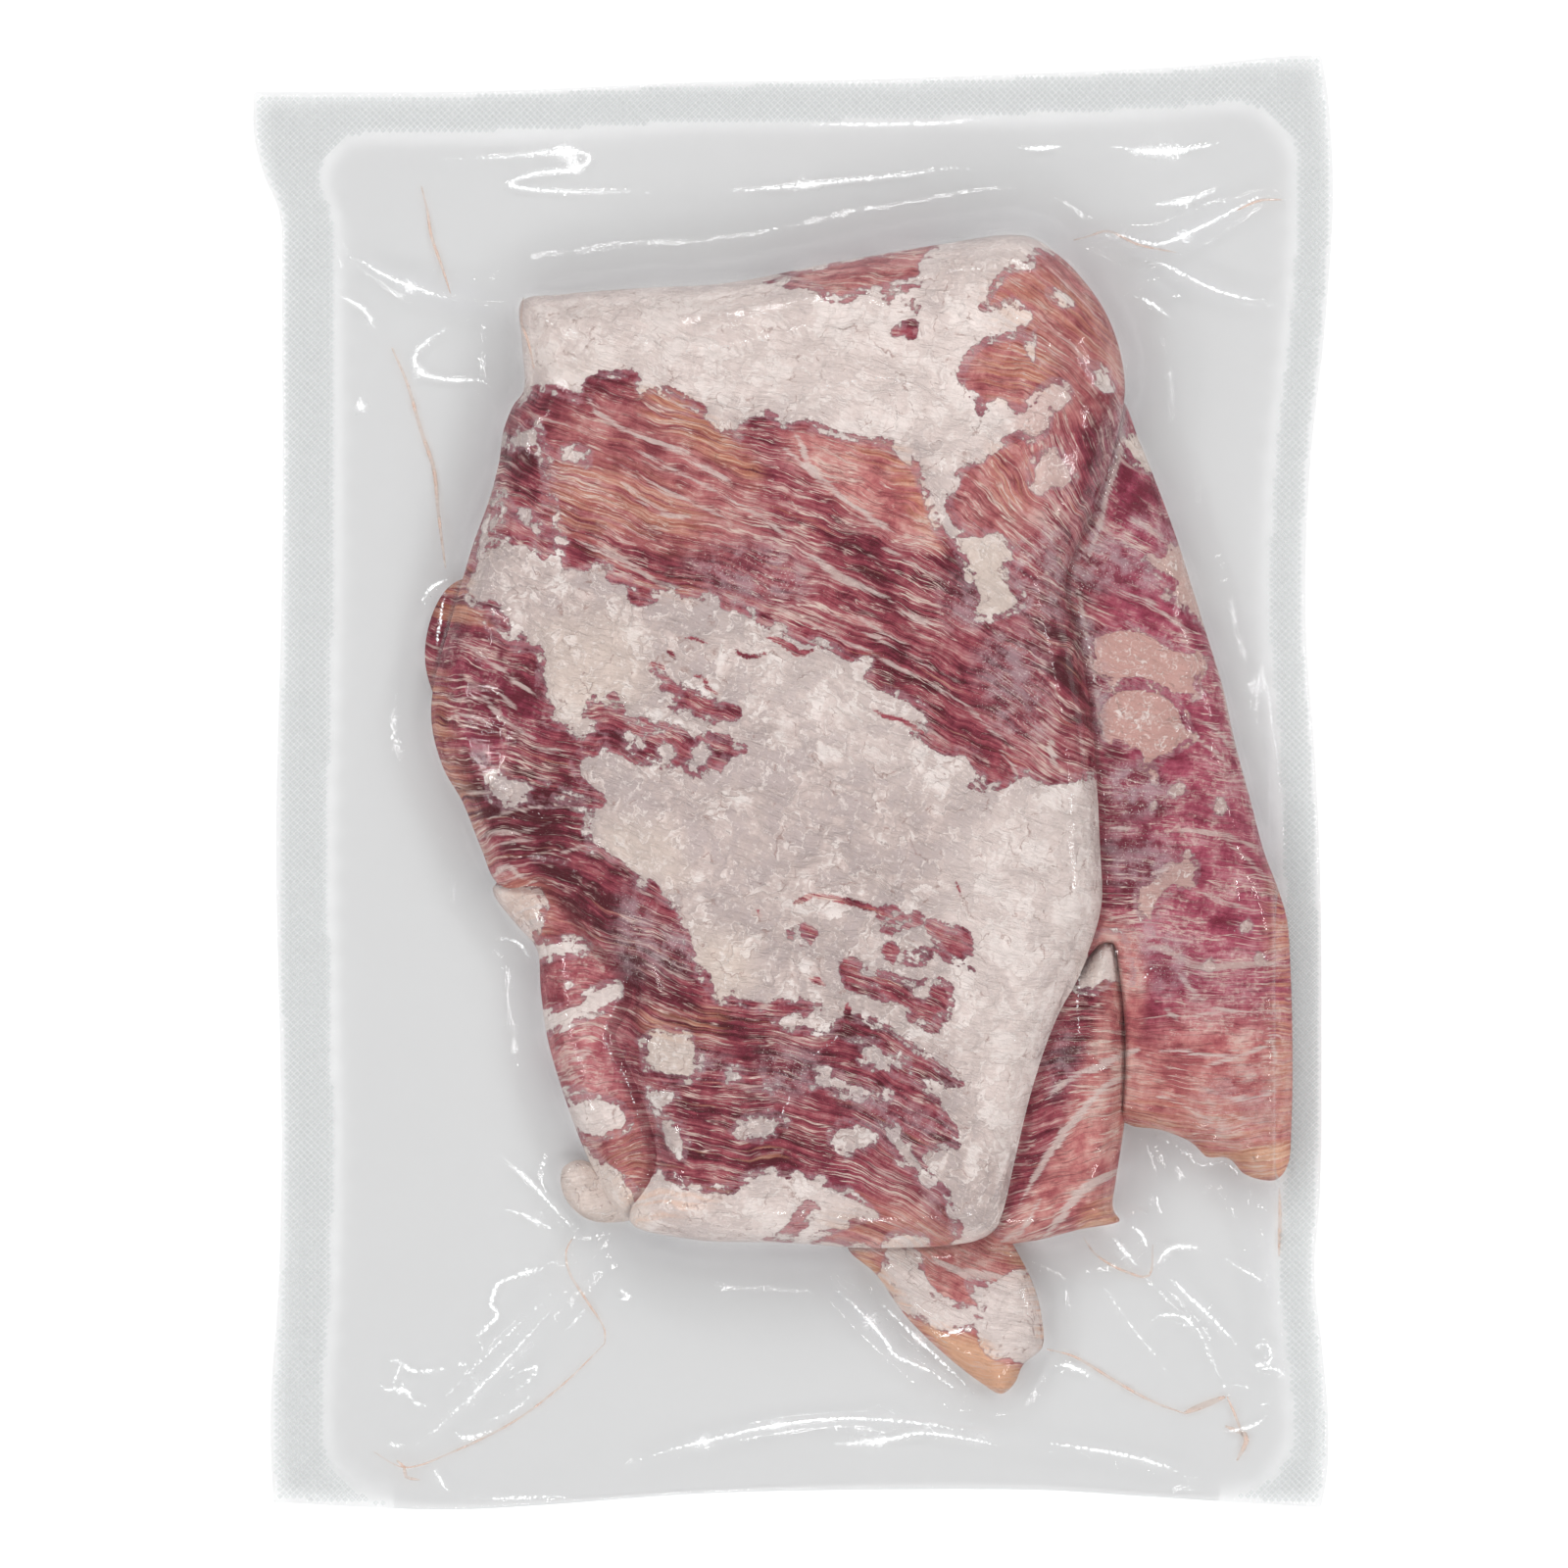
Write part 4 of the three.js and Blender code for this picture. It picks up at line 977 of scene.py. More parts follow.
def places_within(ring, levels, rows):
    """Places inside a ring: rows near it, then staggered grids, each where its field says."""
    found = []
    for depth in rows:
        row = inset_outline(ring, depth, outline_length(ring) / len(ring))
        real = depth_inside(ring, row[:, 0], row[:, 1])
        found.append(row[np.abs(real - depth) < 0.2 * depth])
    low, high = ring.min(axis=0), ring.max(axis=0)
    depth_field = PLAN.depth(ring, 6)
    for pitch, where in levels:
        x, y = np.meshgrid(np.arange(low[0], high[0], pitch), np.arange(low[1], high[1], pitch * 0.866))
        x = x + 0.5 * pitch * (np.arange(x.shape[0]) % 2)[:, None]
        x, y = x.ravel(), y.ravel()
        keep = (PLAN.sample(depth_field, x, y) > rows[-1] + 0.55 * pitch)
        keep &= PLAN.sample(where.astype(float), x, y) > 0.5
        found.append(np.stack([x[keep], y[keep]], axis=1))
    return np.vstack(found)


def closed_sheet(name, ring, top, bottom, levels, rows, coarse):
    """A closed piece: a fine upper face and a coarser lower one that meet along a ring."""
    pitch = levels[0][0]
    ring = even_points(ring, int(outline_length(ring) / max(pitch, 0.6)), closed=True)
    points, faces, count = [], [], 0
    for side, (height, spacing, near) in enumerate(
        [(top, levels, rows), (bottom, [(coarse, PLAN.field(1))], (rows[0], 1.2, 2.6))]
    ):
        inner = places_within(ring, spacing, near)
        places, _, triangles, *_ = geometry.delaunay_2d_cdt(
            [Vector(p) for p in np.vstack([ring, inner])], [], [list(range(len(ring)))], 1, 1e-6
        )
        places, triangles = np.array([tuple(v) for v in places]), np.array(triangles)
        a, b, c = (places[triangles[:, i]] for i in range(3))
        turn = (b[:, 0] - a[:, 0]) * (c[:, 1] - a[:, 1]) - (b[:, 1] - a[:, 1]) * (c[:, 0] - a[:, 0])
        triangles = triangles[np.abs(turn) > 1e-7]
        turn = turn[np.abs(turn) > 1e-7]
        flip = (turn < 0) == (side == 0)
        triangles[flip] = triangles[flip][:, ::-1]
        heights = PLAN.sample(height, places[:, 0], places[:, 1])
        on_ring = slice(0, len(ring))
        heights[on_ring] = PLAN.sample(top, places[on_ring, 0], places[on_ring, 1])
        points.append(np.column_stack([places, heights]))
        faces.append(triangles + count)
        count += len(places)
    piece = object_from(name, np.vstack(points), np.vstack(faces))
    work = bmesh.new()
    work.from_mesh(piece.data)
    bmesh.ops.remove_doubles(work, verts=work.verts, dist=2e-6)
    work.to_mesh(piece.data)
    work.free()
    return piece


def add_attributes(piece, fields, uv=None):
    """Fields of the plan stored at the piece's points, and its grain coordinates as a UV map."""
    mesh = piece.data
    co = np.empty(len(mesh.vertices) * 3)
    mesh.vertices.foreach_get("co", co)
    x, y = co[0::3] / MM, co[1::3] / MM
    for label, field in fields.items():
        attribute = mesh.attributes.new(label, "FLOAT", "POINT")
        attribute.data.foreach_set("value", PLAN.sample(field, x, y))
    if uv is not None:
        layer = mesh.uv_layers.new(name="grain")
        corner = np.empty(len(mesh.loops), int)
        mesh.loops.foreach_get("vertex_index", corner)
        pair = np.stack([PLAN.sample(f, x, y)[corner] for f in uv], axis=1)
        layer.data.foreach_set("uv", pair.ravel())


# ---- the shared fields ---------------------------------------------------------------------------
PLAN = Plan()
OUTLINES = {name: smooth_line(at_pixels(slab["outline"]), closed=True) for name, slab in SLABS.items()}
DEPTHS = {name: PLAN.depth(line) for name, line in OUTLINES.items()}
FIELDS = meat_fields(PLAN)
GRAIN_MAP = grain_map(PLAN)
EDGES = {
    name: smooth_line(edge)
    for name, edge in {"left": LEFT_EDGE, "right": RIGHT_EDGE, "bottom": BOTTOM_EDGE, "top": TOP_EDGE}.items()
}


def surface_relief():
    """The meat's own relief: lobes of fat stand out, and fibres and seams lie in."""
    fat = smoothstep(-0.6, 3.0, np.where(DEPTHS["upper"] > 0, FIELDS["fat"], FIELDS["below"]))
    lobes = soft_noise(PLAN, 9, 11) * 0.45 + soft_noise(PLAN, 4, 12) * 0.25
    fibres = soft_noise(PLAN, 2.2, 13) * 0.15
    return 0.55 * fat + fat * lobes + (1 - fat) * fibres


RELIEF = surface_relief()


def rim_fields():
    """The distance to the cut edge, the weld's share, the share inside it and the rim's lift."""
    left = np.interp(PLAN.y, EDGES["left"][:, 1], EDGES["left"][:, 0])
    right = np.interp(PLAN.y, EDGES["right"][:, 1], EDGES["right"][:, 0])
    bottom = np.interp(PLAN.x, EDGES["bottom"][:, 0], EDGES["bottom"][:, 1])
    top = np.interp(PLAN.x, EDGES["top"][:, 0], EDGES["top"][:, 1])
    from_left, from_right = PLAN.x - left, right - PLAN.x
    from_bottom, from_top = PLAN.y - bottom, top - PLAN.y
    to_cut = np.minimum(np.minimum(from_left, from_right), np.minimum(from_bottom, from_top))
    past_weld = np.minimum(
        np.minimum(from_left - SEAL_BAND_LEFT, from_right - SEAL_BAND_RIGHT), from_top - SEAL_BAND_TOP
    )
    across = np.minimum(from_left - SEAL_BAND_LEFT, from_right - SEAL_BAND_RIGHT)
    along = np.minimum(from_top - SEAL_BAND_TOP, from_bottom - 1)
    in_corner = (across < SEAL_CORNER) & (along < SEAL_CORNER)
    arc = SEAL_CORNER - np.hypot(SEAL_CORNER - across, SEAL_CORNER - along)
    past_weld = np.where(in_corner, np.minimum(past_weld, arc), past_weld)
    u, v = (PLAN.x - left) / (right - left), (PLAN.y - bottom) / (top - bottom)
    near_edge = np.clip(1 - to_cut / RIM_LIFT_REACH, 0, 1)
    corner = np.clip(np.abs((2 * u - 1) * (2 * v - 1)), 0, 1) ** 6
    wave = RIM_LIFT * (1 + 0.5 * np.sin(PLAN.x / 17) + 0.5 * np.sin(PLAN.y / 23))
    lift = near_edge * (wave + CORNER_LIFT * corner)
    return to_cut, 1 - smoothstep(-0.3, 0.7, past_weld), smoothstep(0, 3, past_weld), lift


TO_CUT, WELDED, INSIDE, RIM_BOTTOM = rim_fields()


WEB_SHARPNESS = 1.5
CREASE_RISE = 0.6        # the share of a crease's height that its ridge takes
CREASE_FOOT = 0.7        # the share of its half width that the ridge takes
CREASE_WHITE = 0.8       # how far from a crease its painted highlight can reach
CREASE_LEAST = 0.35      # how strong the painted highlight of the lowest crease is
CREASE_FINE = 1.7        # how far from a crease the film's mesh is fine
CREASE_REACH = 2.2
FILM_SLACK = 0.5         # how far the loose film stands off, on average


def film_heights():
    """The top film over its floor, where it is creased with the strength of the painted highlight there, and
    where a crease is near.
    """
    film = PLAN.field()
    for name, slab in SLABS.items():
        film = bridged(film, film_over(slab, DEPTHS[name], PLAN.x, PLAN.y))
    for start, end, width, points in WEBS:
        line = smooth_line(at_pixels(points))
        w = PLAN.window(line, width)
        away, along = near_line(line, PLAN.x[w], PLAN.y[w])
        web = (start + (end - start) * along) * np.clip(1 - away / width, 0, 1) ** WEB_SHARPNESS
        film[w] = bridged(film[w], web)
    on_meat = smoothstep(-1, 3, np.max(list(DEPTHS.values()), axis=0))
    film = film + on_meat * blurred(RELIEF, 0.8)
    # The strength of the painted highlight near each crease.
    crease = PLAN.field()
    near = np.zeros(PLAN.x.shape, bool)
    for height, width, points in CREASES + MEAT_CREASES:
        line = smooth_line(at_pixels(points))
        w = PLAN.window(line, CREASE_REACH)
        away, along = near_line(line, PLAN.x[w], PLAN.y[w])
        taper = np.sin(math.pi * np.clip(along, 0.02, 0.98)) ** 0.5
        ridge = np.clip(1 - away / (CREASE_FOOT * width), 0, 1) ** WEB_SHARPNESS
        film[w] += CREASE_RISE * height * taper * ridge
        strength = min(1.0, CREASE_LEAST + height)
        crease[w] = np.maximum(crease[w], strength * taper * np.clip(1 - away / CREASE_WHITE, 0, 1))
        near[w] |= away < CREASE_FINE
    waves = soft_noise(PLAN, 14, 21) * 0.35 + soft_noise(PLAN, 5, 22) * 0.08
    film += (1 - on_meat) * (waves + FILM_SLACK)
    return film, crease, near


FILM, CREASE_AND_HIGHLIGHT, NEAR_CREASE = film_heights()
ON_MEAT = smoothstep(-0.6, 1.4, np.max(list(DEPTHS.values()), axis=0))
# the upper film over the lower one: nothing in the weld, the film's height inside it
FILM_TOP = RIM_THICKNESS + np.maximum(FILM, 0.1) * INSIDE * smoothstep(0, 3, TO_CUT)


# ---- colours and nodes ---------------------------------------------------------------------------
def linear(hex_colour):
    """An sRGB hex colour as a linear RGBA one."""
    values = [int(hex_colour[i:i + 2], 16) / 255 for i in (1, 3, 5)]
    return [v / 12.92 if v <= 0.04045 else ((v + 0.055) / 1.055) ** 2.4 for v in values] + [1.0]


def add(tree, kind, *inputs, out=0, stops=(), **settings):
    """Adds a node with its settings, sets or links its inputs, and gives one of its outputs."""
    new = tree.nodes.new(kind)
    for key, value in settings.items():
        setattr(new, key, value)
    for place, value in enumerate(inputs):
        for key, given in value.items() if isinstance(value, dict) else [(place, value)]:
            if isinstance(given, bpy.types.NodeSocket):
                tree.links.new(given, new.inputs[key])
            elif given is not None:
                new.inputs[key].default_value = given
    for place, (position, hex_colour) in enumerate(stops):
        steps = new.color_ramp.elements
        step = steps[place] if place < 2 else steps.new(position)
        step.position, step.color = position, linear(hex_colour)
    return new.outputs[out] if len(new.outputs) else new


def new_material(name):
    """An empty material and its node tree."""
    material = bpy.data.materials.new(name)
    material.use_nodes = True
    material.node_tree.nodes.clear()
    return material, material.node_tree


MATH = "ShaderNodeMath"
RANGE = "ShaderNodeMapRange"
MIX = "ShaderNodeMixRGB"
NOISE = "ShaderNodeTexNoise"
VECTOR = "ShaderNodeVectorMath"
RAMP = "ShaderNodeValToRGB"
SMOOTH = {"interpolation_type": "SMOOTHSTEP"}
TIMES = {"operation": "MULTIPLY"}
TIMES_PLUS = {"operation": "MULTIPLY_ADD"}


# ---- materials -----------------------------------------------------------------------------------
def raw_pork():
    """Raw marbled pork, cut and moist: dark fibrous lean, waxy fat with ragged borders, and thin pale skin
    between the bundles of fibres. Its colour also holds painted light: shading and highlights on the fat's
    flakes and crumbs, painted sparkle in the lean and on its skin, painted shade where one slab lies on
    another, and a painted shadow of the upper slab on the right one."""
    c = bpy.context.scene.pork_meat
    material, tree = new_material("Raw pork, cut and moist")
    place = add(tree, "ShaderNodeTexCoord", out=3)
    mm = add(tree, VECTOR, place, (1000, 1000, 1000), **TIMES)
    drift = add(tree, NOISE, {"Vector": mm, "Scale": 0.07, "Detail": 2.0}, out=1)
    fine_drift = add(tree, NOISE, {"Vector": mm, "Scale": 0.5, "Detail": 3.0}, out=1)
    grain = add(tree, "ShaderNodeUVMap", uv_map="grain")
    grain = add(tree, VECTOR, drift, (5, 5, 0), grain, **TIMES_PLUS)
    grain = add(tree, VECTOR, fine_drift, (0.4, 0.4, 0), grain, **TIMES_PLUS)
    lumpy = add(tree, VECTOR, drift, (12, 12, 0), mm, **TIMES_PLUS)
    lumpy = add(tree, VECTOR, fine_drift, (4.5, 4.5, 0), lumpy, **TIMES_PLUS)

    # Noise as marks of a length along the fibres and a breadth across them, in millimetres.
    n = {}
    for name, length, breadth, detail, shift in (
        ("bundle", 22, 1.9, 4.0, 3.1), ("fibre", 10, 0.45, 3.0, 7.7), ("comb", 6, 0.9, 3.0, 11.9),
        ("streak", 34, 2.4, 3.0, 17.3), ("thread", 18, 1.1, 3.0, 23.9), ("tan", 24, 1.1, 4.0, 31.7),
        ("pale", 20, 1.6, 5.0, 41.3), ("crack", 24, 1.7, 3.0, 53.9),
    ):
        marks = add(tree, VECTOR, grain, (1 / length, 1 / breadth, 1), (shift, shift, 0), **TIMES_PLUS)
        n[name] = add(tree, NOISE, {"Vector": marks, "Scale": 1.0, "Detail": detail, "Roughness": 0.6})
    # The same all round, as marks to a millimetre.
    for name, scale, detail in (
        ("patch", 0.07, 4.0), ("lump", 0.3, 4.0), ("crumb", 1.1, 4.0), ("sparkle_speck", 2.6, 2.0),
        ("cloud", 0.13, 6.0),
    ):
        n[name] = add(tree, NOISE, {"Vector": mm, "Scale": scale, "Detail": detail, "Roughness": 0.62})
    # Fields of the plan: signed depths into fat, thin lines and slits, tones, and the painted shade along the
    # edge of a slab that lies on this one.
    names = "fat line slit dark tan silver salmon magenta cream blush pale seam"
    f = {name: add(tree, "ShaderNodeAttribute", out=2, attribute_name=name) for name in names.split()}

    # The border of the fat: rounded lobes, ragged at several sizes and combed along the fibres.
    lobes = {"Vector": lumpy, "Scale": 0.21, "Smoothness": 0.5}
    dome = add(tree, "ShaderNodeTexVoronoi", lobes, feature="SMOOTH_F1")
    lobe = add(tree, "ShaderNodeTexVoronoi", lobes, out=1, feature="SMOOTH_F1")
    lobe = add(tree, "ShaderNodeSeparateColor", lobe)
    edge = add(tree, "ShaderNodeTexVoronoi", {"Vector": lumpy, "Scale": 0.13}, feature="DISTANCE_TO_EDGE")
    sizes = {"lump": 3.4, "comb": 2.2, "crumb": 1.9}
    rough = add(tree, MATH, dome, -2.6, 2.6 * 0.38 - 0.5 * sum(sizes.values()), **TIMES_PLUS)
    for name, size in sizes.items():
        rough = add(tree, MATH, n[name], size, rough, **TIMES_PLUS)
    ragged = add(tree, MATH, f["salmon"], -0.6, 1.0, **TIMES_PLUS)
    depth = add(tree, MATH, rough, ragged, f["fat"], **TIMES_PLUS)
    depth = add(tree, MATH, f["salmon"], 0.35, depth, **TIMES_PLUS)
    in_fat = add(tree, RANGE, depth, -0.12, 0.16, **SMOOTH)
    veil = add(tree, RANGE, depth, -1.2, 0.1, 0.0, 0.55, **SMOOTH)
    line = add(tree, MATH, n["comb"], 2.2, f["line"], **TIMES_PLUS)
    line = add(tree, MATH, n["fibre"], 2.0, line, **TIMES_PLUS)
    in_line = add(tree, RANGE, line, 1.85, 2.5, **SMOOTH)
    slit = add(tree, MATH, n["crumb"], 1.6, f["slit"], **TIMES_PLUS)
    in_slit = add(tree, RANGE, slit, 0.6, 1.0, **SMOOTH)

    # Lean: bundles of fibres, from nearly black red to pink.
    tone = 0.0
    # The dark field holds darker lean and a painted shadow.
    for mark, weight in (
        (n["bundle"], 0.6), (n["fibre"], 0.36), (n["patch"], 0.45), (n["lump"], 0.3), (f["dark"], -0.1),
    ):
        tone = add(tree, MATH, mark, weight, tone, **TIMES_PLUS)
    tone = add(tree, RANGE, tone, 0.71, 1.01)
    # The lower slabs show less grain and more cloud.
    smooth = add(tree, MATH, f["magenta"], f["salmon"], operation="MAXIMUM")
    clouds = add(tree, RANGE, add(tree, MATH, n["lump"], 0.6, n["cloud"], **TIMES_PLUS), 0.62, 1.0)
    clouds = add(tree, MATH, f["dark"], -0.35, clouds, **TIMES_PLUS)
    tone = add(tree, MIX, add(tree, MATH, smooth, 0.7, **TIMES), tone, clouds)
    # A ramp's own two stops are its ends, so the shades between them come last.
    lean, rosy, purple = (
        add(tree, RAMP, tone, stops=[(k / 4, shades.split()[k]) for k in (0, 4, 1, 2, 3)])
        for shades in (c.lean, c.salmon, c.magenta)
    )
    lean = add(tree, MIX, f["magenta"], lean, purple)
    lean = add(tree, MIX, f["salmon"], lean, rosy)
    crack = add(tree, MATH, add(tree, MATH, n["crack"], 0.5, operation="SUBTRACT"), operation="ABSOLUTE")
    crack = add(tree, RANGE, crack, 0.0, 0.03, 0.45, 0.0, **SMOOTH)
    lean = add(tree, MIX, crack, lean, linear(c.lean.split()[0]))

    # Tan bundles, then pale skin between bundles, as thin lines that come and go.
    bronze = add(tree, RAMP, add(tree, RANGE, n["fibre"], 0.34, 0.64),
                 stops=[(k / 2, c.tan.split()[k]) for k in (0, 2, 1)])
    tan = add(tree, RANGE, n["tan"], 0.43, 0.56, 0.05, 0.95, **SMOOTH)
    tan = add(tree, MATH, tan, f["tan"], **TIMES)
    soaked = add(tree, RANGE, f["tan"], 1.0, 2.0)
    tan = add(tree, MATH, tan, soaked, operation="MAXIMUM")
    bronze = add(tree, MIX, add(tree, MATH, soaked, 0.75, **TIMES), bronze, linear(c.fat_tan))
    stray_tan = add(tree, RANGE, n["tan"], 0.6, 0.7, 0.0, 0.6, **SMOOTH)
    stray_tan = add(tree, MATH, stray_tan, add(tree, MATH, smooth, -0.8, 1.0, **TIMES_PLUS), **TIMES)
    lean = add(tree, MIX, add(tree, MATH, tan, stray_tan, operation="MAXIMUM"), lean, bronze)
    pale = add(tree, RANGE, n["pale"], 0.6, 0.7, 0.0, 0.7, **SMOOTH)
    lean = add(tree, MIX, pale, lean, linear(c.thin_fat))
    for name, strength, where in (("streak", 1.0, "patch"), ("thread", 0.85, "cloud")):
        ridge = add(tree, MATH, add(tree, MATH, n[name], 0.5, operation="SUBTRACT"), operation="ABSOLUTE")
        ridge = add(tree, RANGE, ridge, 0.0, 0.02, strength, 0.0, **SMOOTH)
        ridge = add(tree, MATH, ridge, add(tree, RANGE, n[where], 0.46, 0.58, **SMOOTH), **TIMES)
        lean = add(tree, MIX, ridge, lean, linear(c.streak))
    # Pale specks in the lean: a painted sparkle of fine film wrinkles.
    sparkle_speck = add(tree, RANGE, n["sparkle_speck"], 0.66, 0.76, 0.0, 0.5, **SMOOTH)
    lean = add(tree, MIX, sparkle_speck, lean, linear(c.streak))

    foam = add(tree, MATH, add(tree, RANGE, n["crumb"], 0.5, 0.64, 0.0, 0.45, **SMOOTH),
               add(tree, RANGE, n["cloud"], 0.47, 0.56, **SMOOTH), **TIMES)
    lean = add(tree, MIX, add(tree, MATH, foam, f["magenta"], **TIMES), lean, linear(c.streak))

    # Fat: soft lobes a few millimetres wide, white, cream or clear grey, with flecks and few cracks, and with
    # painted shade and painted highlights on its flakes, crumbs and cell edges.
    shade = add(tree, MATH, lobe, 0.36, add(tree, MATH, n["cloud"], 0.9, **TIMES), **TIMES_PLUS)
    shade = add(tree, MATH, n["lump"], 0.3, add(tree, MATH, shade, 0.06, operation="ADD"), **TIMES_PLUS)
    shade = add(tree, MATH, f["pale"], 0.14, shade, **TIMES_PLUS)
    # Overlapping flakes: a slow rise from each flake's darker foot to its sharp bright edge, painted shade
    # and a painted highlight on their relief.
    fold = add(tree, NOISE, {"Vector": lumpy, "Scale": 0.17, "Detail": 2.5, "Roughness": 0.5})
    flake = add(tree, MATH, add(tree, MATH, fold, 6.5, **TIMES), operation="FRACT")
    shade = add(tree, MATH, flake, 0.24, add(tree, MATH, shade, 0.12, operation="SUBTRACT"), **TIMES_PLUS)
    fat = add(tree, RAMP, add(tree, RANGE, shade, 0.68, 1.09),
              stops=((0.0, c.fat_clear), (1.0, c.fat_white_and_highlight), (0.32, c.fat_grey), (0.64, c.fat)))
    for field, share, colour in (
        (f["cream"], 0.6, c.fat_cream), (f["pale"], 0.5, c.fat_pale), (f["salmon"], 0.7, c.fat_pale),
        (f["blush"], 0.9, c.fat_blush), (tan, 0.5, c.fat_tan),
    ):
        fat = add(tree, MIX, add(tree, MATH, field, share, **TIMES), fat, linear(colour))
    # White flecks are painted highlights on the fat's crumbs; clear grey flecks are the fat's own colour.
    for low, high, share, colour in ((0.56, 0.68, 0.6, c.fat_white_and_highlight), (0.4, 0.3, 0.25, c.fat_clear)):
        fleck = add(tree, RANGE, n["crumb"], low, high, 0.0, share, **SMOOTH)
        fat = add(tree, MIX, fleck, fat, linear(colour))
    # Painted highlight: a white brim along each flake's sharp edge.
    brim_highlight = add(tree, MATH, add(tree, RANGE, flake, 0.8, 0.97, 0.0, 0.8, **SMOOTH),
               add(tree, RANGE, n["lump"], 0.4, 0.55, **SMOOTH), **TIMES)
    fat = add(tree, MIX, brim_highlight, fat, linear(c.fat_white_and_highlight))
    # Fine dark lines at cell edges: cracks, and painted shade between the lumps.
    seam = add(tree, MATH, add(tree, RANGE, edge, 0.0, 0.03, 0.75, 0.0, **SMOOTH),
               add(tree, RANGE, n["lump"], 0.5, 0.6, **SMOOTH), **TIMES)
    fat = add(tree, MIX, seam, fat, linear(c.seam))

    # Thin fat lets the lean show through it, lilac; then thick fat, drawn lines, slits and skin.
    flesh = add(tree, MIX, veil, lean, linear(c.lilac))
    flesh = add(tree, MIX, in_fat, flesh, fat)
    drawn = add(tree, MIX, 0.5, linear(c.thin_fat), fat)
    flesh = add(tree, MIX, add(tree, MATH, in_line, 0.85, **TIMES), flesh, drawn)
    flesh = add(tree, MIX, in_slit, flesh, lean)
    # Silver skin, and white specks on it that are a painted sparkle.
    for mark, low, high, least, most, colour in (
        ("lump", 0.4, 0.62, 0.05, 0.75, c.silver), ("sparkle_speck", 0.6, 0.68, 0.0, 0.8, c.fat_white_and_highlight),
    ):
        share = add(tree, RANGE, n[mark], low, high, least, most, **SMOOTH)
        flesh = add(tree, MIX, add(tree, MATH, f["silver"], share, **TIMES), flesh, linear(colour))
    # Painted shade: the darkest lean along the edge of a slab that lies on this one.
    flesh = add(tree, MIX, add(tree, MATH, f["seam"], 0.4, **TIMES), flesh, linear(c.lean.split()[0]))

    height = add(tree, MATH, in_fat, 0.6, add(tree, MATH, n["fibre"], 0.9, **TIMES), **TIMES_PLUS)
    crumbs = add(tree, MATH, in_fat, -0.5, 0.8, **TIMES_PLUS)
    height = add(tree, MATH, n["crumb"], crumbs, height, **TIMES_PLUS)
    height = add(tree, MATH, dome, -0.9, height, **TIMES_PLUS)
    height = add(tree, MATH, flake, 0.3, height, **TIMES_PLUS)
    bump = add(tree, "ShaderNodeBump", {"Height": height, "Strength": 1.0, "Distance": 0.0009})
    shader = add(tree, "ShaderNodeBsdfPrincipled", {
        "Base Color": flesh, "Roughness": 0.5, "IOR": 1.38, "Specular IOR Level": 0.35, "Normal": bump,
    })
    add(tree, "ShaderNodeOutputMaterial", shader)
    return material


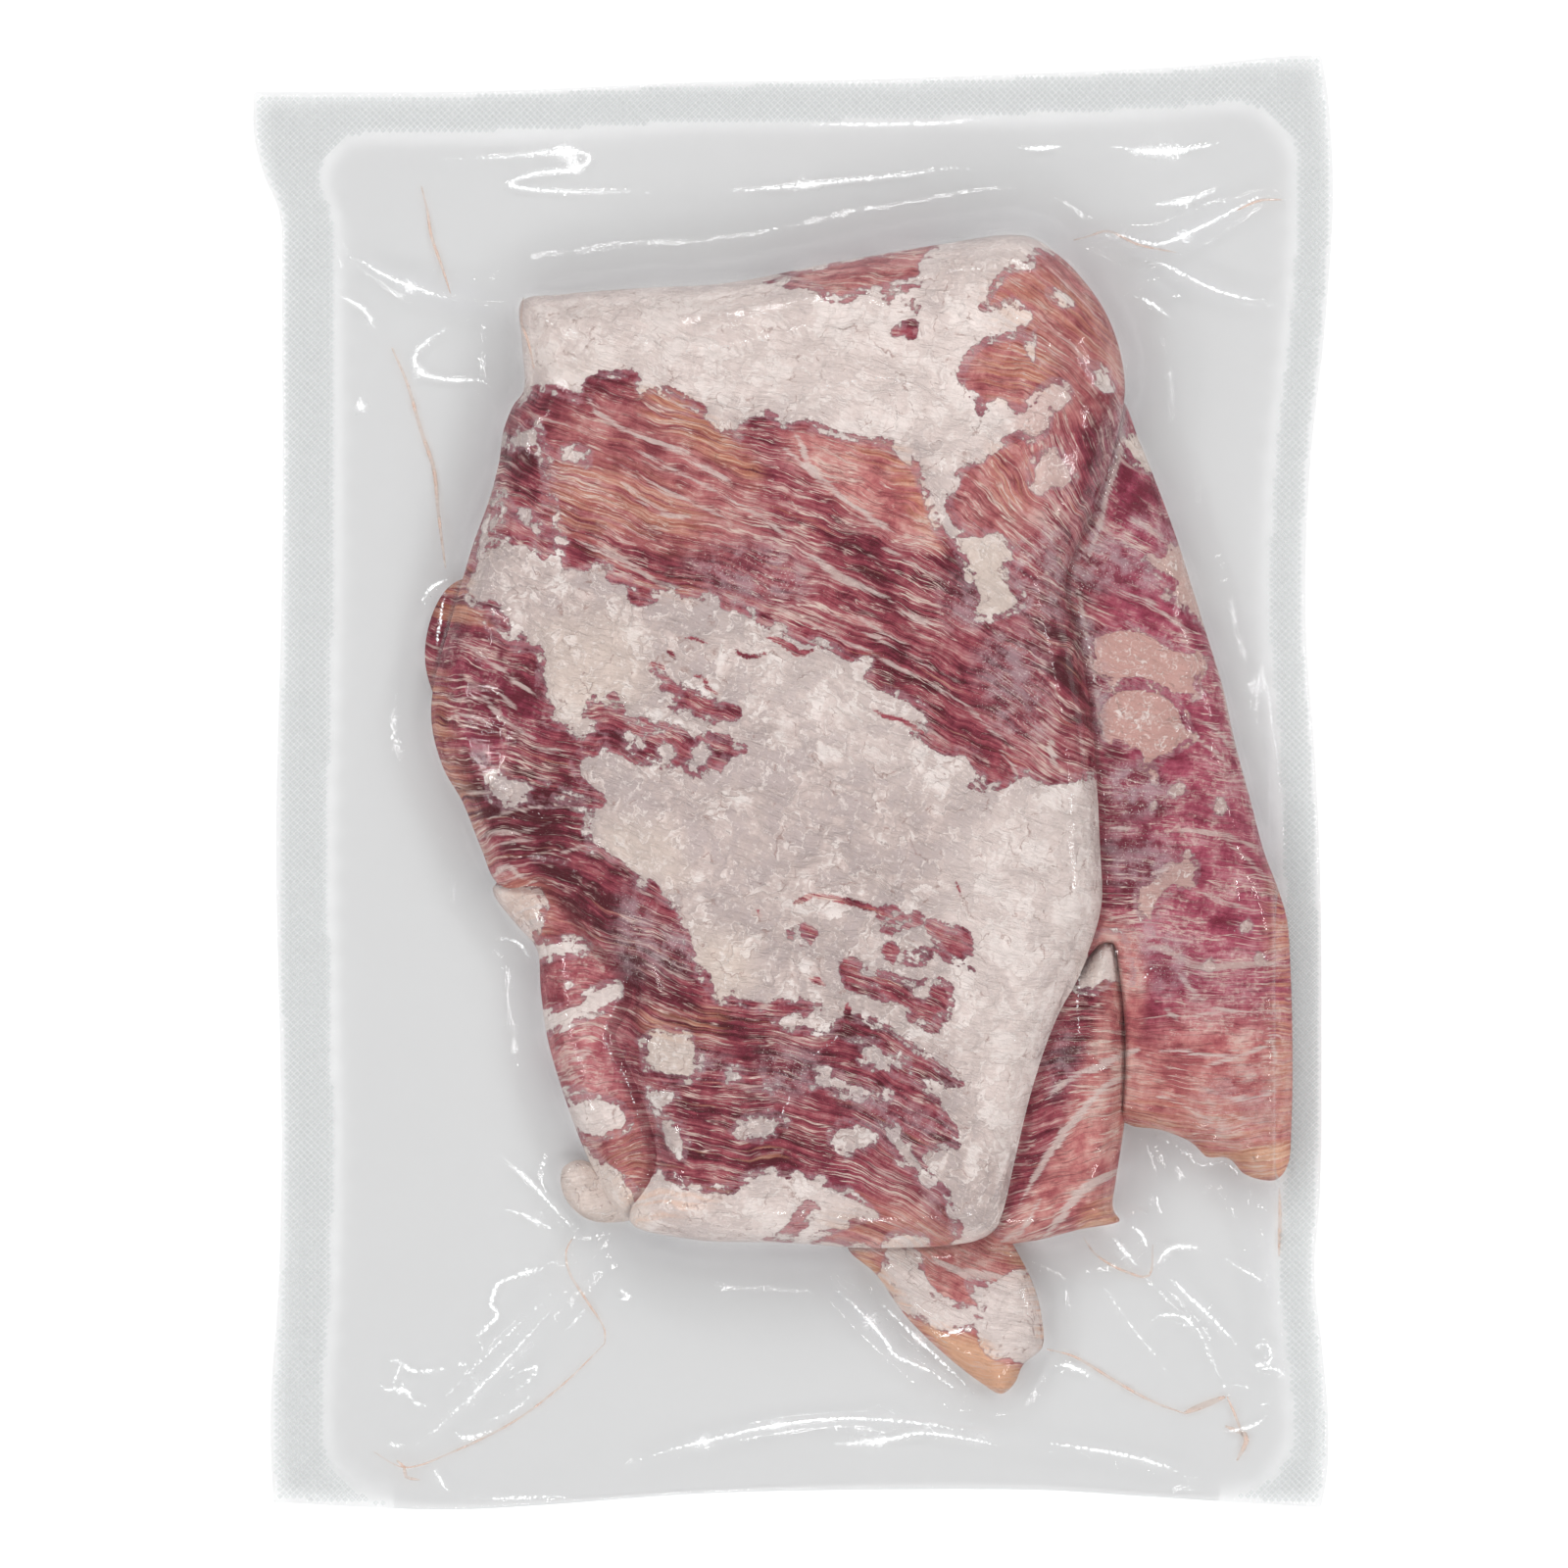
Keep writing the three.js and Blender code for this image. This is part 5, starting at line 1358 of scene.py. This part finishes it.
def pouch_film():
    """Clear polyamide and polyethylene laminate, vacuum drawn: it is glossy and casts a little grey, is
    painted greyer where it is steep as shade, and carries a painted highlight, white along sharp creases."""
    c = bpy.context.scene.pork_pouch
    material, tree = new_material("Polyamide film, vacuum drawn")
    place = add(tree, "ShaderNodeTexCoord", out=3)
    mm = add(tree, VECTOR, place, (1000, 1000, 1000), **TIMES)
    ripple = add(tree, NOISE, {"Vector": mm, "Scale": 0.16, "Detail": 5.0, "Roughness": 0.55})
    jagged = add(tree, NOISE, {"Vector": mm, "Scale": 1.7, "Detail": 3.0, "Roughness": 0.6})
    inside = add(tree, "ShaderNodeAttribute", out=2, attribute_name="inside")
    crease = add(tree, "ShaderNodeAttribute", out=2, attribute_name="crease")
    # Crumpled along the creases, so a highlight there breaks into dots.
    dents = add(tree, NOISE, {"Vector": mm, "Scale": 0.9, "Detail": 1.0})
    crumpled = add(tree, MATH, add(tree, MATH, dents, 0.45, **TIMES), crease, ripple, **TIMES_PLUS)
    bump = add(tree, "ShaderNodeBump", {"Height": crumpled, "Strength": 0.4, "Distance": 0.001})
    on_meat = add(tree, "ShaderNodeAttribute", out=2, attribute_name="on_meat")
    upright = add(tree, "ShaderNodeSeparateXYZ", add(tree, "ShaderNodeNewGeometry", out=1), out=2)
    # Painted shade: where the film is steep, inside the weld, its cast is darker.
    steep = add(tree, RANGE, add(tree, MATH, upright, operation="ABSOLUTE"), 0.98, 0.5, **SMOOTH)
    tint = add(tree, MIX, inside, linear(c.film_rim), linear(c.film))
    tint = add(tree, MIX, add(tree, MATH, steep, inside, **TIMES), tint, linear(c.film_steep_shade))
    tint = add(tree, MIX, on_meat, tint, linear(c.film_wet))
    clear = add(tree, "ShaderNodeBsdfTransparent", tint)
    gloss = add(tree, "ShaderNodeBsdfGlossy", {"Color": (1, 1, 1, 1), "Roughness": 0.07, "Normal": bump})
    # Reflection by angle, the same from both sides: the film is thin, so nothing is trapped in it.
    grazing = add(tree, "ShaderNodeLayerWeight", {"Blend": 0.5, "Normal": bump}, out=1)
    shine = add(tree, MATH, add(tree, MATH, grazing, 5.0, operation="POWER"), 0.96, 0.04, **TIMES_PLUS)
    skin = add(tree, "ShaderNodeMixShader", shine, clear, gloss)
    # Painted highlight: white diffuse and gloss, mixed in along the creases in jagged dots.
    white = add(tree, "ShaderNodeBsdfDiffuse", linear("#ffffff"))
    white = add(tree, "ShaderNodeAddShader", white, add(tree, "ShaderNodeBsdfGlossy", {"Roughness": 0.2}))
    line = add(tree, MATH, jagged, 1.5, crease, **TIMES_PLUS)
    line = add(tree, RANGE, line, 1.25, 1.6, 0.0, 0.85, **SMOOTH)
    add(tree, "ShaderNodeOutputMaterial", add(tree, "ShaderNodeMixShader", line, skin, white))
    return material


def embossed_weld():
    """The same laminate where hot ribbed jaws pressed it: fine frosted points."""
    material, tree = new_material("Polyamide film, welded and embossed")
    clear = add(tree, "ShaderNodeBsdfTransparent", linear("#f7f8f8"))
    frost = add(tree, "ShaderNodeBsdfPrincipled", {
        "Base Color": linear("#f8f8f8"), "Roughness": 0.5, "IOR": 1.5,
    })
    add(tree, "ShaderNodeOutputMaterial", add(tree, "ShaderNodeMixShader", 0.12, clear, frost))
    return material


def meat_fluid():
    """A thread of pinkish fluid that the vacuum drew along a crease: thin, so mostly clear."""
    material, tree = new_material("Meat juice, thin")
    place = add(tree, "ShaderNodeTexCoord", out=3)
    beads = add(tree, NOISE, {"Vector": place, "Scale": 320.0, "Detail": 3.0})
    clear = add(tree, "ShaderNodeBsdfTransparent", linear("#fffaf7"))
    wet = add(tree, "ShaderNodeBsdfPrincipled", {
        "Base Color": linear("#ffdcc8"), "Roughness": 0.5, "IOR": 1.35,
    })
    share = add(tree, RANGE, beads, 0.4, 0.65, 0.0, 0.32, **SMOOTH)
    add(tree, "ShaderNodeOutputMaterial", add(tree, "ShaderNodeMixShader", share, clear, wet))
    return material


def floor_paint():
    """Matt white paint on board, as under a studio table."""
    material, tree = new_material("Matt white board")
    place = add(tree, "ShaderNodeTexCoord", out=3)
    mottle = add(tree, NOISE, {"Vector": place, "Scale": 900.0})
    tone = add(tree, MIX, mottle, linear("#fdfdfd"), linear("#ffffff"))
    add(tree, "ShaderNodeOutputMaterial", add(tree, "ShaderNodeBsdfDiffuse", tone))
    return material


# ---- settings ------------------------------------------------------------------------------------
def text(name, description, default):
    """A setting that holds one colour or several, as sRGB hex."""
    return bpy.props.StringProperty(name=name, description=description, default=default)


def length(name, description, default):
    """A setting that holds a length in metres."""
    return bpy.props.FloatProperty(
        name=name, description=description, default=default, subtype="DISTANCE", unit="LENGTH"
    )


class PorkMeatSettings(bpy.types.PropertyGroup):
    """The meat's mesh and colours"""
    point_spacing: length("Point spacing", "Distance between the points of a slab's upper face", 0.00053)
    lean: text("Lean", "Five shades, dark to light", "#55121f #7f2b3d #a54b57 #bf797d #d8afa8")
    salmon: text("Salmon lean", "Five shades of the flaps and the lower slab",
                 "#a34a53 #c16c6d #d68d88 #e3aaa1 #ecc8bf")
    magenta: text("Magenta lean", "Five shades of the right slab", "#7c2238 #9c3c54 #b8566c #cc828e #deb2b6")
    tan: text("Tan", "Three shades of tan and orange bundles", "#a9604f #d18d72 #e8bfa8")
    streak: text("Streak", "Pale lines between bundles", "#e9d0c4")
    thin_fat: text("Thin fat", "Streaks of fat in the lean", "#e0c4bc")
    lilac: text("Veil", "Lean that shows through fat", "#bd939c")
    silver: text("Silver skin", "The skin over a muscle", "#c3aab0")
    fat: text("Fat", "Firm fat", "#d9c6c0")
    # Also the colour of painted highlights on the fat.
    fat_white_and_highlight: text("White fat", "Its whitest lumps", "#f3e7e2")
    fat_grey: text("Grey fat", "Its greyest lumps", "#cab8b3")
    fat_clear: text("Clear fat", "Fat that light passes through", "#c6b5b2")
    fat_pale: text("Pale fat", "Fat of the cap and the lower lobe", "#f3e4de")
    fat_cream: text("Cream fat", "The warmest lobes", "#e8d5c7")
    fat_blush: text("Blushing fat", "Lobes tinged by the lean", "#cf9f96")
    fat_tan: text("Tan fat", "Fat that has dried a little", "#f0bd9b")
    # Also the painted shade between the fat's lumps.
    seam: text("Seam", "Fine seams between lobes", "#a98a82")


class PorkPouchSettings(bpy.types.PropertyGroup):
    """The weld's emboss and the film's casts"""
    weld_pitch: length("Weld pitch", "Distance between the embossed points of the weld", 0.0014)
    weld_height: length("Weld height", "Height of the embossed points", 0.00015)
    film: text("Film", "The cast of film that has air under it", "#f1f1f1")
    film_rim: text("Rim film", "Its cast where both films are welded", "#f8f8f8")
    film_wet: text("Wet film", "Its cast where it lies on the meat", "#fbfbfb")
    # Painted shade on the film's slopes.
    film_steep_shade: text("Steep film", "Its cast where it is steep", "#eeeeef")


class PorkStageSettings(bpy.types.PropertyGroup):
    """The camera's place"""
    view_width: length("View width", "Width that the picture shows", 0.32)
    height: length("Camera height", "Height of the camera over the surface", 3.2)


# ---- operators -----------------------------------------------------------------------------------
def dress(piece, material):
    """Gives a piece its material, and its place in the frame."""
    piece.data.materials.clear()
    piece.data.materials.append(material)
    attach(piece, "root")
    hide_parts(NODE)


# The slabs that lie on each slab, and how far inside their outline the two meet.
ABOVE = {
    "upper": [], "fat_nub": [], "right": [("upper", 0), ("right_flap", 1.4)],
    **{name: [("upper", 0)] for name in ("left_flap", "right_flap", "tail", "edge_strip")},
}
INSET = 0.6        # gap between a slab's side and the film's own outline
CLEARANCE = 0.35   # gap between a slab's top and the film
BASE = 0.35        # the slabs' lowest height over the surface
SLAB_ROWS = (0.15, 0.5, 1.1, 1.9)
UNDERSIDE_GRID = 2.4
LOWER_FAT = 1.8    # the lower slabs' fat has cleaner borders, so its depth counts for more
SINK = 0.6         # the share of the right slab's thickness that gives way under the flap on it
SINK_RISE = (1.2, 2.3)   # how far inside the flap's outline that starts and is complete
UNDER_REACH = 5    # the upper slab's underside rises this far beside the slabs under it
THINNEST = 2.5     # the least thickness of the upper slab
WIDEST_AT = 0.42   # where up its thickness a slab is widest


class PORK_OT_slabs(bpy.types.Operator):
    """Makes the slabs of meat, each a closed piece"""
    bl_idname = "pork.slabs"
    bl_label = "Slabs of pork"

    def execute(self, context):
        meat = raw_pork()
        pitch = context.scene.pork_meat.point_spacing / MM
        under = PLAN.field(BASE)
        for name in ("right", "left_flap", "right_flap", "tail", "edge_strip", "fat_nub"):
            height = slab_height(SLABS[name], DEPTHS[name], PLAN.x, PLAN.y)
            reach = np.clip(1 + DEPTHS[name] / UNDER_REACH, 0, 1)
            under = np.maximum(under, (height + 0.6) * smoothstep(0, 1, reach))
        under = blurred(under, 1.5)
        for name, slab in SLABS.items():
            outline = inset_outline(OUTLINES[name], INSET)
            base = under if name == "upper" else None
            depth = PLAN.depth(outline)
            top, bottom = slab_faces(slab, DEPTHS[name], depth, base)
            if name == "right":   # it gives way under the flap that lies on it
                top = top - SINK * smoothstep(*SINK_RISE, DEPTHS["right_flap"]) * (top - bottom)
            levels = [(pitch, PLAN.field(1))]
            piece = closed_sheet(f"pork_{name}", outline, top, bottom, levels, SLAB_ROWS, UNDERSIDE_GRID)
            covers = [DEPTHS[other] - hidden for other, hidden in ABOVE[name]]
            covered = np.max(covers or [PLAN.field(-FAT_REACH)], axis=0)
            fat = FIELDS["fat"] if name == "upper" else LOWER_FAT * FIELDS["below"]
            if name == "right":   # the flap's own fat stops at its edge
                fat = np.minimum(fat, -0.5 * DEPTHS["right_flap"] - 1)
            # Its last field is a painted shade, near the edge of a slab that lies on this one.
            shown = {**FIELDS, "fat": fat, "seam": smoothstep(-0.6, 0.2, covered)}
            del shown["below"]
            add_attributes(piece, shown, GRAIN_MAP)
            dress(piece, meat)
        return {"FINISHED"}


def slab_faces(slab, film_depth, depth, base):
    """The heights of a slab's upper and lower face over the plan."""
    full = slab_height(slab, film_depth, PLAN.x, PLAN.y) + RELIEF - CLEARANCE
    full = np.minimum(full, FILM - CLEARANCE)
    low = PLAN.field(BASE) if base is None else np.minimum(base, full - THINNEST)
    middle = low + WIDEST_AT * (full - low)
    upper = middle + (full - middle) * rounded(depth, slab["edge"])
    lower = middle - (middle - low) * rounded(depth, slab["edge"] * 0.7)
    return np.minimum(upper, FILM - 0.2), lower


class PORK_OT_film(bpy.types.Operator):
    """Makes the clear pouch, an upper and a lower film joined along the cut edges"""
    bl_idname = "pork.film"
    bl_label = "Pouch film"

    def execute(self, context):
        outline = np.vstack([
            EDGES["bottom"][:-1], EDGES["right"][:-1], EDGES["top"][:0:-1], EDGES["left"][:0:-1],
        ])
        outline = even_points(outline, int(outline_length(outline)), closed=True)
        near_meat = np.max(list(DEPTHS.values()), axis=0)
        fine = NEAR_CREASE
        medium = (near_meat > -3.5) & (near_meat < 6) & ~fine
        levels = [(0.42, fine), (0.8, medium), (1.25, ~fine & ~medium)]
        top = RIM_BOTTOM + FILM_TOP
        piece = closed_sheet("pouch_film", outline, top, RIM_BOTTOM, levels, (0.12, 0.8), 4.0)
        # the painted crease highlight's strength, the share inside the weld, and where the film lies on meat
        add_attributes(piece, {"crease": CREASE_AND_HIGHLIGHT, "inside": INSIDE, "on_meat": ON_MEAT})
        dress(piece, pouch_film())
        return {"FINISHED"}


class PORK_OT_weld(bpy.types.Operator):
    """Embosses the weld with fine points, by Geometry Nodes"""
    bl_idname = "pork.weld"
    bl_label = "Embossed weld"

    def execute(self, context):
        settings = context.scene.pork_pouch
        points = weld_points(settings.weld_pitch / MM)
        base = object_from("weld_points", points, np.zeros((0, 3), int))
        modifier = base.modifiers.new("Emboss", "NODES")
        modifier.node_group = emboss_tree()
        inputs = {
            item.name: item.identifier for item in modifier.node_group.interface.items_tree
            if item.item_type == "SOCKET" and item.in_out == "INPUT"
        }
        modifier[inputs["Point width"]] = settings.weld_pitch * 0.42
        modifier[inputs["Point height"]] = settings.weld_height
        modifier[inputs["Material"]] = embossed_weld()
        context.view_layer.update()
        evaluated = base.evaluated_get(context.evaluated_depsgraph_get())
        mesh = bpy.data.meshes.new_from_object(evaluated)
        mesh.name = "pouch_weld"
        piece = bpy.data.objects.new("pouch_weld", mesh)
        context.scene.collection.objects.link(piece)
        base.modifiers.clear()
        bpy.data.objects.remove(base)
        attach(piece, "root")
        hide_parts(NODE)
        return {"FINISHED"}


def weld_points(pitch):
    """Staggered places over the weld, on the film."""
    low, high = np.array([-111.0, -149.0]), np.array([111.0, 149.0])
    x, y = np.meshgrid(np.arange(low[0], high[0], pitch), np.arange(low[1], high[1], pitch * 0.5))
    x = x + 0.5 * pitch * (np.arange(x.shape[0]) % 2)[:, None]
    x, y = x.ravel(), y.ravel()
    keep = (PLAN.sample(WELDED, x, y) > 0.9) & (PLAN.sample(TO_CUT, x, y) > 0.9)
    x, y = x[keep], y[keep]
    return np.column_stack([x, y, PLAN.sample(RIM_BOTTOM + FILM_TOP, x, y) + 0.06])


def emboss_tree():
    """A small four-sided point on each place."""
    tree = bpy.data.node_groups.new("Embossed points", "GeometryNodeTree")
    for name, way, kind in (
        ("Geometry", "INPUT", "Geometry"), ("Point width", "INPUT", "Float"),
        ("Point height", "INPUT", "Float"), ("Material", "INPUT", "Material"),
        ("Geometry", "OUTPUT", "Geometry"),
    ):
        tree.interface.new_socket(name, in_out=way, socket_type=f"NodeSocket{kind}")
    places, width, height, material = (add(tree, "NodeGroupInput", out=i) for i in range(4))
    cone = add(tree, "GeometryNodeMeshCone", {
        "Vertices": 4, "Radius Top": 0.0, "Radius Bottom": width, "Depth": height,
    })
    spots = add(tree, "GeometryNodeMeshToPoints", places)
    placed = add(tree, "GeometryNodeInstanceOnPoints", {"Points": spots, "Instance": cone})
    real = add(tree, "GeometryNodeRealizeInstances", placed)
    clad = add(tree, "GeometryNodeSetMaterial", {"Geometry": real, "Material": material})
    add(tree, "NodeGroupOutput", clad)
    return tree


class PORK_OT_fluid(bpy.types.Operator):
    """Makes the threads of fluid in the film's creases"""
    bl_idname = "pork.fluid"
    bl_label = "Meat fluid"

    def execute(self, context):
        points, faces = [], []
        for width, places in FLUID:
            line = smooth_line(at_pixels(places))
            line = even_points(line, max(8, int(np.linalg.norm(np.diff(line, axis=0), axis=1).sum() / 1.2)))
            thread(points, faces, line, width)
        piece = object_from("meat_fluid", points, faces)
        dress(piece, meat_fluid())
        return {"FINISHED"}


THREAD_FILL = 0.45      # a thread's half width, as a share of its drawn width
THREAD_LIFT = 0.05
THREAD_DROP = 0.3       # how far under the film's top a thread lies


def thread(points, faces, line, width, sides=6):
    """A flat tapering tube just under the film."""
    start = len(points)
    step = np.gradient(line, axis=0)
    side = np.stack([-step[:, 1], step[:, 0]], axis=1) / np.linalg.norm(step, axis=1)[:, None]
    share = np.sin(math.pi * np.linspace(0.06, 0.94, len(line))) ** 0.6
    height = PLAN.sample(RIM_BOTTOM + FILM_TOP, line[:, 0], line[:, 1]) - THREAD_DROP
    for (x, y), (sx, sy), size, z in zip(line, side, share, height):
        for k in range(sides):
            a = 2 * math.pi * k / sides
            out, up = THREAD_FILL * width * size * math.cos(a), THREAD_LIFT * size * math.sin(a)
            points.append((x + sx * out, y + sy * out, z + up))
    for i in range(len(line) - 1):
        for k in range(sides):
            a, b = start + i * sides + k, start + i * sides + (k + 1) % sides
            faces.append((a, b, b + sides))
            faces.append((a, b + sides, a + sides))
    for k in range(1, sides - 1):
        faces.append((start, start + k + 1, start + k))
        last = start + (len(line) - 1) * sides
        faces.append((last, last + k, last + k + 1))


FLOOR_REACH = 2500      # half the floor's width
FLOOR_DROP = 0.2        # the floor lies a little under the pack, so the two never meet
SKY, SKY_STRENGTH = (0.97, 0.985, 1.0, 1), 0.3
RISE = 42               # how high each light stands over the floor, in degrees
RING_LIGHTS = 10        # large soft panels in a ring, for light with hardly a shadow
RING_AWAY, RING_SIZE, RING_POWER = 1.7, (0.85, 0.7), 3.3   # metres, metres and watts
GLINT_AWAY, GLINT_SIZE = 1.6, (0.2, 0.08)
SENSOR = 36
# Small bright softboxes that draw the creases' highlights: degrees round from the right, watts.
GLINT_LIGHTS = (
    (8, 1.3), (52, 1.0), (95, 1.3), (140, 1.0), (185, 1.3), (232, 1.0), (275, 1.3), (318, 1.0),
)


class PORK_OT_stage(bpy.types.Operator):
    """Makes the floor, the lights and the camera"""
    bl_idname = "pork.stage"
    bl_label = "Stage"

    def execute(self, context):
        scene = context.scene
        stage = scene.pork_stage
        scene.view_settings.view_transform = "Standard"
        turns = ((-1, -1), (1, -1), (1, 1), (-1, 1))
        corners = [(x * FLOOR_REACH, y * FLOOR_REACH, -FLOOR_DROP) for x, y in turns]
        floor = object_from("floor", corners, [(0, 1, 2, 3)])
        floor.data.materials.append(floor_paint())
        world = bpy.data.worlds.new("Studio")
        world.use_nodes = True
        sky = world.node_tree.nodes["Background"].inputs
        sky["Color"].default_value = SKY
        sky["Strength"].default_value = SKY_STRENGTH
        scene.world = world
        lights = [
            (f"panel_{i}", 360 * i / RING_LIGHTS, RING_AWAY, RING_SIZE, RING_POWER)
            for i in range(RING_LIGHTS)
        ] + [
            (f"glint_{i}", turn, GLINT_AWAY, GLINT_SIZE, power)
            for i, (turn, power) in enumerate(GLINT_LIGHTS)
        ]
        height = math.radians(RISE)
        for name, turn, away, (wide, long), power in lights:
            turn = math.radians(turn)
            light = bpy.data.lights.new(name, "AREA")
            light.shape, light.size, light.size_y, light.energy = "RECTANGLE", wide, long, power
            lamp = bpy.data.objects.new(name, light)
            flat = away * math.cos(height)
            lamp.location = (flat * math.cos(turn), flat * math.sin(turn), away * math.sin(height))
            lamp.rotation_euler = (-lamp.location).to_track_quat("-Z", "Y").to_euler()
            lamp.visible_glossy = name.startswith("glint")
            scene.collection.objects.link(lamp)
        camera = bpy.data.cameras.new("camera")
        middle = at_pixels([(800, 800)])[0] * MM
        camera.sensor_width = SENSOR
        camera.lens = SENSOR * stage.height / stage.view_width
        camera.clip_end = 50
        eye = bpy.data.objects.new("camera", camera)
        eye.location = (middle[0], middle[1], stage.height)
        scene.collection.objects.link(eye)
        scene.camera = eye
        return {"FINISHED"}


class PORK_PT_panel(bpy.types.Panel):
    """Lists the pieces of the pork pack"""
    bl_idname = "PORK_PT_panel"
    bl_label = "Pork pack"
    bl_space_type = "VIEW_3D"
    bl_region_type = "UI"
    bl_category = "Pork pack"

    def draw(self, context):
        for operator in OPERATORS:
            self.layout.operator(operator.bl_idname)
        for settings in (context.scene.pork_meat, context.scene.pork_pouch, context.scene.pork_stage):
            for name in settings.__annotations__:
                self.layout.prop(settings, name)


OPERATORS = (PORK_OT_stage, PORK_OT_slabs, PORK_OT_film, PORK_OT_weld, PORK_OT_fluid)
CLASSES = (PorkMeatSettings, PorkPouchSettings, PorkStageSettings, *OPERATORS, PORK_PT_panel)


def register():
    for kind in CLASSES:
        bpy.utils.register_class(kind)
    bpy.types.Scene.pork_meat = bpy.props.PointerProperty(type=PorkMeatSettings)
    bpy.types.Scene.pork_pouch = bpy.props.PointerProperty(type=PorkPouchSettings)
    bpy.types.Scene.pork_stage = bpy.props.PointerProperty(type=PorkStageSettings)


def unregister():
    for name in ("pork_stage", "pork_pouch", "pork_meat"):
        delattr(bpy.types.Scene, name)
    for kind in reversed(CLASSES):
        bpy.utils.unregister_class(kind)


def main():
    """Makes the stage and every piece."""
    register()
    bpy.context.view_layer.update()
    bpy.ops.pork.stage()
    bpy.ops.pork.slabs()
    bpy.ops.pork.film()
    bpy.ops.pork.weld()
    bpy.ops.pork.fluid()


if __name__ == "__main__":
    main()
